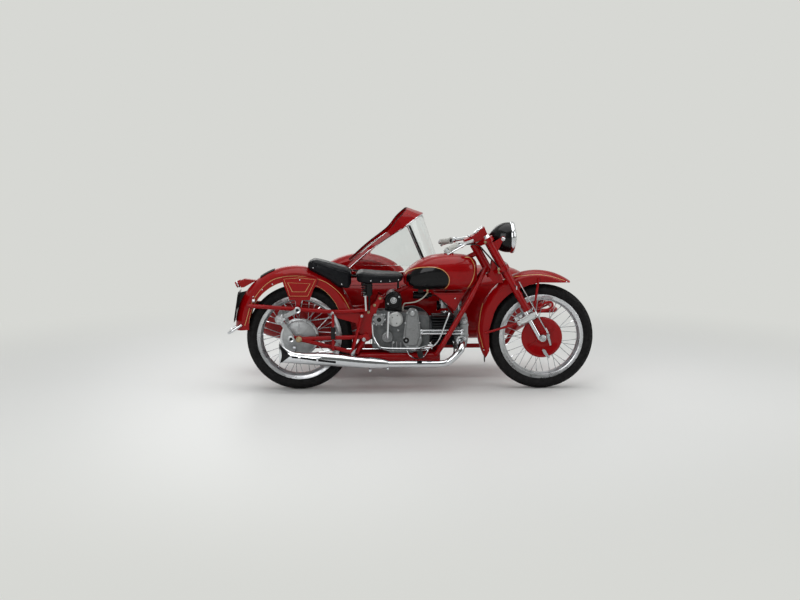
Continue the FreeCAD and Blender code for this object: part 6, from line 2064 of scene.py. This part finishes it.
@dataclass
class FrontEnd:
    """The fork's fittings, the brake plate and the controls."""

    brake_centre: Vector = field(default_factory=lambda: at(750.0, -62.0, 326.5))

    def build(self) -> None:
        """Fit the fork from the axle up."""
        self.brake()
        self.stays()
        self.yoke_bolts()
        self.grips()
        self.cables()

    def brake(self) -> None:
        """Dish the brake plate, and fit its lever, rod and anchor."""
        dish, bright, steel = Shape(), Shape(), Shape()
        centre = self.brake_centre
        dish.turned(
            [(16, 16), (34, 16), (40, 8), (92, 8), (104, 13), (118, 13), (126, 6), (127, -2), (16, -2)], centre,
            -LEFT, 72, closed=True,
        )
        for way in SIDES:
            outline = spoke_outline(centre - LEFT * 6, math.radians(35), (38 * way, 5), (100 * way, 3))
            dish.slab(outline, -LEFT * 6, 2)
        bright.turned(
            [(1, 64), (9, 64), (11, 62), (11, 50), (17, 49), (17, 40), (15, 38), (15, 12)], centre, -LEFT, 24,
        )
        steel.bolt(at(750, -123, 326.5), -LEFT, 27)
        cam = at(786, -82, 340)
        lever = [cam + shift for shift in points_of(0, (-10, 0), (-4, 10), (6, 8), (22, -60), (12, -64))]
        steel.slab(lever, -LEFT * 5, 1)
        steel.bolt(cam - LEFT * 5, -LEFT, 15)
        rod = places((600, -104, 676), (634, -104, 618), (700, -100, 505), (742, -94, 425), (788, -92, 348))
        bright.tube(eased(rod, 14), 4.2, 10)
        bright.tube(places((768, -93, 388), (784, -92, 356)), 7, 12)
        steel.slab(
            points_of(-74, (756, 256), (770, 250), (792, 214), (800, 200), (788, 196), (764, 222), (750, 246)),
            -LEFT * 6, 1.5,
        )
        for x, z in ((792, 206), (762, 244)):
            steel.bolt(at(x, -80, z), -LEFT, 11)
        dish.piece("front_brake_dish", RED, Body.STEERING, crease=30)
        bright.piece("front_brake_rod", CHROME, Body.STEERING)
        steel.piece("front_brake_lever", BRIGHT_STEEL, Body.STEERING)

    def stays(self) -> None:
        """Join the guard to the fork's shoe with its pale links and looped tube."""
        links, loops = Shape(), Shape()
        for side in SIDES:
            y = side * 104
            links.tube(places((609, y, 436), (650, y, 462), (700, side * 96, 484)), 6, 12)
            links.tube(places((602, y, 410), (650, y, 428), (704, side * 96, 452)), 6, 12)
            for seat in points_of(y, (704, 470), (606, 424)):
                links.button(seat, LEFT * side, 11, 7)
            loop = places(
                (729, side * 80, 508), (752, side * 80, 532), (788, side * 80, 548), (812, side * 78, 538),
                (806, side * 78, 516), (776, side * 80, 500), (740, side * 82, 486),
            )
            loops.tube(eased(loop, 8), 6.5, 12)
        links.piece("fork_guard_links", PALE_ALLOY, Body.STEERING)
        loops.piece("guard_looped_tubes", RED, Body.STEERING)

    def yoke_bolts(self) -> None:
        """Pinch the yokes with their bolts and cap the steering head."""
        bolts, nuts = Shape(), Shape()
        skin = Skin("fork_yokes", "fork_legs")
        for ahead, up in ((-36, 486), (-103, 470), (-30, 506), (-22, 694)):
            for side in SIDES:
                point = on_fork(ahead, 0, up)
                met = skin.met(from_side(side, point.x, point.z), LEFT * -side)
                if met:
                    bolts.bolt(met[0], LEFT * side, 13)
        for ahead, side, up, across in ((-56, 0, 716, 34), (0, -92, 708, 30), (0, 92, 708, 30)):
            nuts.bolt(on_fork(ahead, side, up), FORK_UP, across)
        bolts.piece("yoke_bolts", CADMIUM, Body.STEERING)
        nuts.piece("steering_head_nuts", CHROME, Body.STEERING)

    def grips(self) -> None:
        """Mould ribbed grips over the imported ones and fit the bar's ends."""
        shape, ends = Shape(), Shape()
        points = [vertex.co / METRES + MIDDLE for vertex in frame["nodes"]["grips"].data.vertices]
        for side in SIDES:
            own = sorted((point for point in points if point.y * side > 0), key=lambda point: point.y * side)
            slice_size = max(3, len(own) // 8)
            inner = sum(own[:slice_size], Vector()) / slice_size
            outer = sum(own[-slice_size:], Vector()) / slice_size
            axis = (outer - inner).normalized()
            length = (outer - inner).length
            profile = [(12, 0), (21, 0), (21, 4), (18, 6)]
            rib = 8
            while rib < length - 8:
                profile += [(17.2, rib), (18.6, rib + 1.5), (18.6, rib + 4), (17.2, rib + 5.5)]
                rib += 7
            profile += [(18.6, length - 3), (17, length), (12, length)]
            shape.turned(profile, inner, axis, 28, closed=True)
            ends.turned([(1, 4), (9, 4), (13, 1), (13, -4)], outer, axis, 22)
        shape.piece("ribbed_handlebar_grips", PALE_RUBBER, Body.STEERING, crease=30, replaced=("grips",))
        ends.piece("handlebar_end_caps", CHROME, Body.STEERING)

    def cables(self) -> None:
        """Lead the control cables from their levers down beside the steering head."""
        cables, ferrules = Shape(), Shape()
        for side in SIDES:
            end = at(585, side * 112, 640)
            route = [*places(
                (252, side * 232, 914), (300, side * 190, 912), (352, side * 122, 898), (400, side * 98, 850),
            ), end]
            cables.tube(eased(route, 12), 3.2, 8)
            ferrules.tube([route[0] - AHEAD * 8, route[0] + AHEAD * 12 - LEFT * side * 6], 5, 10)
            ferrules.tube([end + UP * 10, end - UP * 12], 5, 10)
        cables.piece("control_cable_sheaths", RUBBER, Body.STEERING)
        ferrules.piece("control_cable_ferrules", CHROME, Body.STEERING)


@dataclass
class Lamps:
    """The headlamp's glass and reflector, the dial, and the tail lamp."""

    lamp: Vector = field(default_factory=lambda: at(556.0, 0.0, 942.0))
    glass_radius: float = 82.0
    flute: float = 9.0
    flute_depth: float = 0.9
    glass_wall: float = 3.0
    glass_sides: int = 144
    flat_share: float = 0.95
    plate_y: float = 40.0

    def build(self) -> None:
        """Light the front and the back."""
        self.glass()
        self.rim()
        self.dial()
        self.tail()

    def glass(self) -> None:
        """Press the fluted glass, with the reflector and bulb behind it."""
        lens, mirror, bulb = Shape(), Shape(), Shape()
        rings = []
        for share, depth in (
            (1, 12), (0.98, 19), (0.9, 24), (0.78, 28), (0.62, 31), (0.45, 33.5), (0.3, 34.8),
            (0.16, 35.4), (0.02, 35.6),
        ):
            ring = []
            for angle in turns(self.glass_sides):
                y = self.glass_radius * share * math.cos(angle)
                z = self.glass_radius * share * math.sin(angle)
                flute = self.flute_depth * math.cos(TURN * y / self.flute) if share < self.flat_share else 0
                ring.append(self.lamp + at(depth + flute, y, z))
            rings.append(ring)
        inside = [[point - AHEAD * self.glass_wall for point in ring] for ring in reversed(rings[1:])]
        lens.loft(rings + inside)
        mirror.turned(
            [(81, 10), (70, 5.5), (52, 2.6), (30, 1.2), (14, 0.8), (14, -2), (81, -2)], self.lamp, AHEAD, 64,
            closed=True,
        )
        bulb.turned([(1, 22), (5, 20), (8, 14), (8, 8), (13, 6), (14, 0)], self.lamp, AHEAD, 24)
        lens.piece("headlamp_fluted_glass", LAMP_GLASS, Body.STEERING, crease=60, replaced=("headlamp_glass",))
        mirror.piece("headlamp_reflector", CHROME, Body.STEERING)
        bulb.piece("headlamp_bulb", CHROME, Body.STEERING)

    def rim(self) -> None:
        """Spin the rim with its rolled edge, and bolt the shell to its ears."""
        rim, bolts = Shape(), Shape()
        rim.turned([
            (83, 22), (86, 24), (91, 23), (96, 18), (98.5, 11), (98, 4), (96, -1), (93, -3), (90, 2), (84, 14),
        ], self.lamp, AHEAD, 72, closed=True)
        skin = Skin("lamp_brackets", "headlamp_shell")
        for side in SIDES:
            fasten(bolts, skin, side, 17, [(501, 938)])
        rim.piece("headlamp_spun_rim", CHROME, Body.STEERING, crease=30, replaced=("headlamp_rim",))
        bolts.piece("headlamp_side_bolts", CHROME, Body.STEERING)

    def dial(self) -> None:
        """Sink the speedometer in the box's top, with its switch and tell-tale."""
        skin, above = Skin("instrument_box"), 1200
        bezel, face, marks, knobs = Shape(), Shape(), Shape(), Shape()
        centre, out = skin.met(at(357, 0, above), -UP)
        bezel.turned([(31, -4), (31, 3), (33, 6.5), (37, 7), (40, 4), (41, -4)], centre, out, 48, closed=True)
        face.turned([(0.5, 2.6), (31.5, 2.6), (31.5, -2)], centre, out, 40)
        first, second = square_pair(out)
        for step in range(25):
            angle = TURN * (step + 4) / 32
            ray = first * math.cos(angle) + second * math.sin(angle)
            inner = 22 if step % 2 else 19
            marks.tube([centre + out * 2.8 + ray * inner, centre + out * 2.8 + ray * 27], 0.5, 6)
        marks.tube([centre + out * 3.4, centre + out * 3.4 + first * 20], 0.7, 6)
        marks.button(centre + out * 2.6, out, 3, 2)
        for y in (-26, 26):
            seat, rise = skin.met(at(302, y, above), -UP)
            knobs.turned([(1, 10), (6.4, 10), (8, 8), (8, 2), (5.6, 0)], seat, rise, 20)
        bezel.piece("dial_bezel", CHROME, Body.STEERING, crease=30)
        face.piece("dial_face", BLACK, Body.STEERING)
        marks.piece("dial_marks", GOLD_LINE, Body.STEERING)
        knobs.piece("instrument_switches", CHROME, Body.STEERING)

    def tail(self) -> None:
        """Fit the tail lamp's lens, the blank plate's border and the loop's nuts."""
        lens, bezel, border, bright = Shape(), Shape(), Shape(), Shape()
        heading = at(-1, 0, -0.5).normalized()
        centre = at(-1124, 0, 658)
        dome = [(18, -2), (18, 8), (16, 13), (11, 16.5), (5, 18), (0.5, 18.4)]
        lens.turned(dome, centre, heading, 30)
        bezel.turned([(18.5, 0), (22.5, 1), (23.5, 4), (22, 8), (18.5, 9)], centre, heading, 36, closed=True)
        skin, behind = Skin("number_plate"), -1500
        corners = [
            skin.met(at(behind, y, z), AHEAD)[0] for y, z in ((-88, 604), (88, 604), (88, 442), (-88, 442))
        ]
        inset = [corner.lerp(sum(corners, Vector()) / 4, 0.05) for corner in corners]
        border.band(list(zip(corners, inset)), [-AHEAD] * 4, 2.2, 1, True)
        for y in (-self.plate_y, self.plate_y):
            for z in (588, 458):
                bright.button(skin.met(at(behind, y, z), AHEAD)[0], -AHEAD, 5, 3)
        lens.piece("tail_lamp_lens", RED_LENS, crease=60)
        bezel.piece("tail_lamp_bezel", CHROME)
        border.piece("number_plate_border", BLACK, crease=30)
        bright.piece("number_plate_bolts", CHROME)


# Frame and sidecar

@dataclass
class FrameFittings:
    """Bolts, rubbers, springs and damper knobs on the frame."""

    star_points: int = 5
    coils: int = 6
    coil_radius: float = 20.0
    coil_wire: float = 3.4
    coil_span: Pair = (590.0, 664.0)

    def build(self) -> None:
        """Fit both sides."""
        self.bolts()
        self.dampers()
        self.hangers()
        self.saddle_springs()
        self.rests()

    def bolts(self) -> None:
        """Bolt the gussets, the lugs and the axle."""
        plated, bright = Shape(), Shape()
        skin, arm = Skin("rear_frame", "head_frame"), Skin("swinging_arm", "rear_frame")
        for side in SIDES:
            fasten(plated, skin, side, 13, [(-252, 574), (-286, 531), (-323, 488)])
            fasten(bright, skin, side, 12, [(-543, 490), (-364, 470)])
            plated.bolt(REAR_AXLE + LEFT * (side * 129), LEFT * side, 26)
            bright.turned([(1, 10), (9, 10), (11, 8), (11, -6)], at(-1024, side * 92, 562), -AHEAD, 18)
            fasten(bright, arm, side, 17, [(-352, 322)])
        plated.piece("gusset_bolts", CADMIUM)
        bright.piece("frame_bolts", BRIGHT_STEEL)

    def dampers(self) -> None:
        """Screw the star knobs down on the friction dampers."""
        stars, cores = Shape(), Shape()
        for side in SIDES:
            knob = at(-859, side * 138, 454)
            outline = [knob + swung(24 + 6 * math.cos(self.star_points * angle), angle) for angle in turns(60)]
            stars.slab(outline, LEFT * (side * 12), 3)
            stars.turned([(1, 20), (8, 20), (10, 17), (12, 12)], knob, LEFT * side, 20)
            for x, z in ((-756, 509), (-796, 331)):
                seat = at(x, side * 140, z)
                stars.turned([(10, 4), (16, 6), (20, 4), (20, -6), (10, -6)], seat, LEFT * side, 30, closed=True)
                cores.turned([(1, 3), (9, 3), (10.5, 0), (10.5, -4)], seat, LEFT * side, 22)
        stars.piece("damper_star_knobs", POLISHED, crease=30, slot=Slot.ALLOY)
        cores.piece("damper_bushes", RUBBER)

    def hangers(self) -> None:
        """Slip the black rubbers on the upright tubes and flatten the braces' feet."""
        rubbers, feet = Shape(), Shape()
        for side in SIDES:
            y = side * 125
            rubbers.tube(points_of(y, (-540, 328), (-540, 334), (-540, 396), (-540, 402)), 13.5, 18)
            foot = points_of(y, (-414, 262), (-400, 266), (-412, 232), (-424, 226), (-434, 234))
            feet.slab(foot, LEFT * (side * 11), 2)
            feet.bolt(at(-421, side * 136, 240), LEFT * side, 11)
        rubbers.piece("hanger_rubbers", RUBBER)
        feet.piece("brace_feet", BRIGHT_STEEL)

    def saddle_springs(self) -> None:
        """Wind the saddle's rear springs and stand its post beside them."""
        springs, posts = Shape(), Shape()
        low, high = self.coil_span
        for side in SIDES:
            centre = at(-344, side * 104, 0)
            path = []
            steps, radius = self.coils * 20, self.coil_radius
            for step in range(steps + 1):
                angle = TURN * self.coils * step / steps
                rise = low + (high - low) * step / steps
                path.append(centre + at(radius * math.cos(angle), radius * math.sin(angle), rise))
            springs.tube(path, self.coil_wire, 8)
            springs.turned([(1, 0), (24, 0), (25, 4), (24, 8), (1, 8)], centre + UP * (high - 2), UP, 28)
            posts.tube([centre + UP * 500 + AHEAD * 6, centre + UP * 592 + AHEAD * 2], 7, 14)
            posts.bolt(centre + UP * 592, UP, 20)
        springs.piece("saddle_coil_springs", BLACK)
        posts.piece("saddle_spring_posts", CHROME)

    def rests(self) -> None:
        """Mould the footrest rubbers' ribs and set the brake pedal beside them."""
        ribs, pedal = Shape(), Shape()
        for side in SIDES:
            start = at(-10, side * 152, 247)
            profile = [(12, 0), (16.5, 0), (16.5, 3)]
            rib = 6
            while rib < 88:
                profile += [(15.2, rib), (17, rib + 1.5), (17, rib + 4.5), (15.2, rib + 6)]
                rib += 8
            profile += [(17.5, 90), (17.5, 93.5), (12, 93.5)]
            ribs.turned(profile, start, LEFT * side, 30, closed=True)
        shank = places((-60, -112, 262), (-20, -124, 268), (24, -150, 286), (52, -176, 292))
        pedal.tube(eased(shank, 10), 5, 12)
        pedal.slab([at(x, y, 296) for x, y in ((36, -160), (66, -160), (66, -206), (36, -206))], UP * 7, 2)
        ribs.piece("footrest_ribs", RUBBER, crease=30)
        pedal.piece("brake_pedal", CHROME)


@dataclass
class Sidecar:
    """The sidecar's beads, screen trims, pillars and hood lines."""

    middle_y: float = 612.0
    hood_low: tuple[Triple, ...] = (
        (-444, 263, 723), (-318, 259, 834), (-178, 246, 929), (-97, 233, 978), (-20, 197, 1034), (14, 148, 1053),
        (34, 76, 1059), (39, 0, 1061),
    )
    hood_high: tuple[Triple, ...] = (
        (-454, 256, 736), (-331, 252, 847), (-198, 240, 952), (-132, 226, 1033), (-90, 190, 1075), (-75, 142, 1090),
        (-68, 73, 1096), (-67, 0, 1098),
    )
    sheet_foot: tuple[Triple, ...] = (
        (-444, 263, 690), (-285, 259, 690), (-108, 246, 690), (-6, 233, 690), (91, 197, 690), (135, 148, 692),
        (157, 76, 696), (161, 0, 698),
    )
    cockpit: Triple = (-560.0, 150.0, 232.0)
    bead_z: float = 612.0

    def build(self) -> None:
        """Trim the body, then the screen."""
        self.sheet()
        self.screen_trims()
        self.pillars()
        self.flank_beads()
        self.cockpit_edge()
        self.chassis_fittings()

    def mirrored(self, rows: tuple[Triple, ...]) -> list[Vector]:
        """Complete a line across both sides from its near half.

        Args:
            rows: Each point's x, its distance from the middle plane and z, up to the middle.

        Returns:
            The whole line.
        """
        near = [at(x, self.middle_y - half, z) for x, half, z in rows]
        far = [at(x, self.middle_y + half, z) for x, half, z in reversed(rows[:-1])]
        return near + far

    def sheet(self) -> None:
        """Bend the clear sheet between the cowl and the hood."""
        shape = Shape()
        rows = 6
        wall = 4
        rings = []
        middle = at(-100, self.middle_y, 0)
        for foot, top in zip(self.mirrored(self.sheet_foot), self.mirrored(self.hood_low)):
            outer = [foot.lerp(top, row / (rows - 1)) for row in range(rows)]
            inward = middle - foot
            inward.z = 0
            shift = inward.normalized() * wall
            rings.append([point + shift * 0.3 for point in outer] + [point + shift for point in reversed(outer)])
        shape.loft(rings)
        sheet = shape.piece("screen_curved_sheet", SCREEN, crease=180, replaced=("screen_glass",))
        rounder = sheet.modifiers.new("rounder", "SUBSURF")
        rounder.levels = rounder.render_levels = 2

    def screen_trims(self) -> None:
        """Edge the hood with bright trim below and a dark bead above."""
        bright, dark = Shape(), Shape()
        bright.tube(eased(self.mirrored(self.hood_low), 14), 3.6, 8)
        dark.tube(eased(self.mirrored(self.hood_high), 14), 3, 8)
        bright.piece("hood_lower_trim", CHROME)
        dark.piece("hood_upper_bead", RUBBER)

    def pillars(self) -> None:
        """Stand the screen's pillars between the cowl and the hood."""
        bright, dark = Shape(), Shape()
        for side in SIDES:
            foot = at(60, self.middle_y + side * 214, 700)
            top = at(-66, self.middle_y + side * 222, 994)
            bright.tube([foot, top], 5, 10)
            dark.tube([foot + AHEAD * 13, top + AHEAD * 13], 3.6, 8)
        bright.piece("screen_pillars", CHROME)
        dark.piece("screen_pillar_seals", RUBBER)

    def flank_beads(self) -> None:
        """Press a bead along each flank."""
        shape = Shape()
        skin = Skin("sidecar_body")
        for side in SIDES:
            outside = self.middle_y + side * FAR
            row = [at(x, outside, self.bead_z + 6 * math.sin((x + 900) / 520)) for x in range(-980, 720, 20)]
            bead = CoachLines(11, 2.4)
            edge = UP * (bead.width / 2)
            bead.along(shape, skin, [point + edge for point in row], [point - edge for point in row], LEFT * -side)
        shape.piece("sidecar_flank_beads", RED, crease=25)

    def cockpit_edge(self) -> None:
        """Bind the cockpit's edge in leather piping."""
        shape = Shape()
        skin = Skin("sidecar_body")
        start, end, half = self.cockpit
        centre, reach = (start + end) / 2, (end - start) / 2
        line = []
        margin, power, above, least_z = 7, 0.6, 1300, 600
        for angle in turns(96):
            across = bulged(math.sin(angle), power) * (half + margin)
            along = bulged(math.cos(angle), power) * (reach + margin)
            met = skin.met(at(centre + along, self.middle_y + across, above), -UP)
            if met and met[0].z > least_z:
                line.append(met[0] + UP * 2)
        shape.tube(line, 6.5, 10, True)
        shape.piece("cockpit_piping", LEATHER)

    def chassis_fittings(self) -> None:
        """Bolt the struts' eyes and the chassis clamps."""
        shape = Shape()
        skin = Skin("sidecar_chassis")
        for x in (-420, -60, 300):
            for y in (345, 362):
                shape.bolt(skin.met(at(x, y, 600), -UP)[0], UP, 13)
        shape.turned([(1, 20), (12, 20), (15, 16), (15, 2), (22, 0), (22, -4)], at(-365, 1068, 326.5), LEFT, 26)
        shape.piece("sidecar_chassis_bolts", BRIGHT_STEEL)


def dress_nodes() -> None:
    """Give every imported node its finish."""
    slots = {part["node"]: part["material_slot"] for part in frame["record"]["subparts"]}
    for name, node in frame["nodes"].items():
        for place in node.material_slots:
            place.material = OWN_FINISH.get(name, NODE_FINISH[slots[name]]).material()


def main() -> None:
    """Build the scene's sub-assemblies in order."""
    logging.basicConfig(level=logging.INFO, format="%(message)s")
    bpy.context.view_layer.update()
    builders = [
        Studio(),
        WireWheel("front", Body.FRONT_WHEEL, FRONT_AXLE, -1),
        WireWheel("rear", Body.REAR_WHEEL, REAR_AXLE, -1),
        WireWheel("sidecar", Body.SIDECAR_WHEEL, at(-365.0, 1022.0, 326.5), 1),
        *seats(), Tank(), Mudguards(), Toolboxes(), Engine(), Exhaust(), Drive(),
        FrontEnd(), Lamps(), FrameFittings(), Sidecar(),
    ]
    dress_nodes()
    for builder in builders:
        builder.build()
        MADE_LOG.info("built %s", type(builder).__name__)


if __name__ == "__main__":
    main()
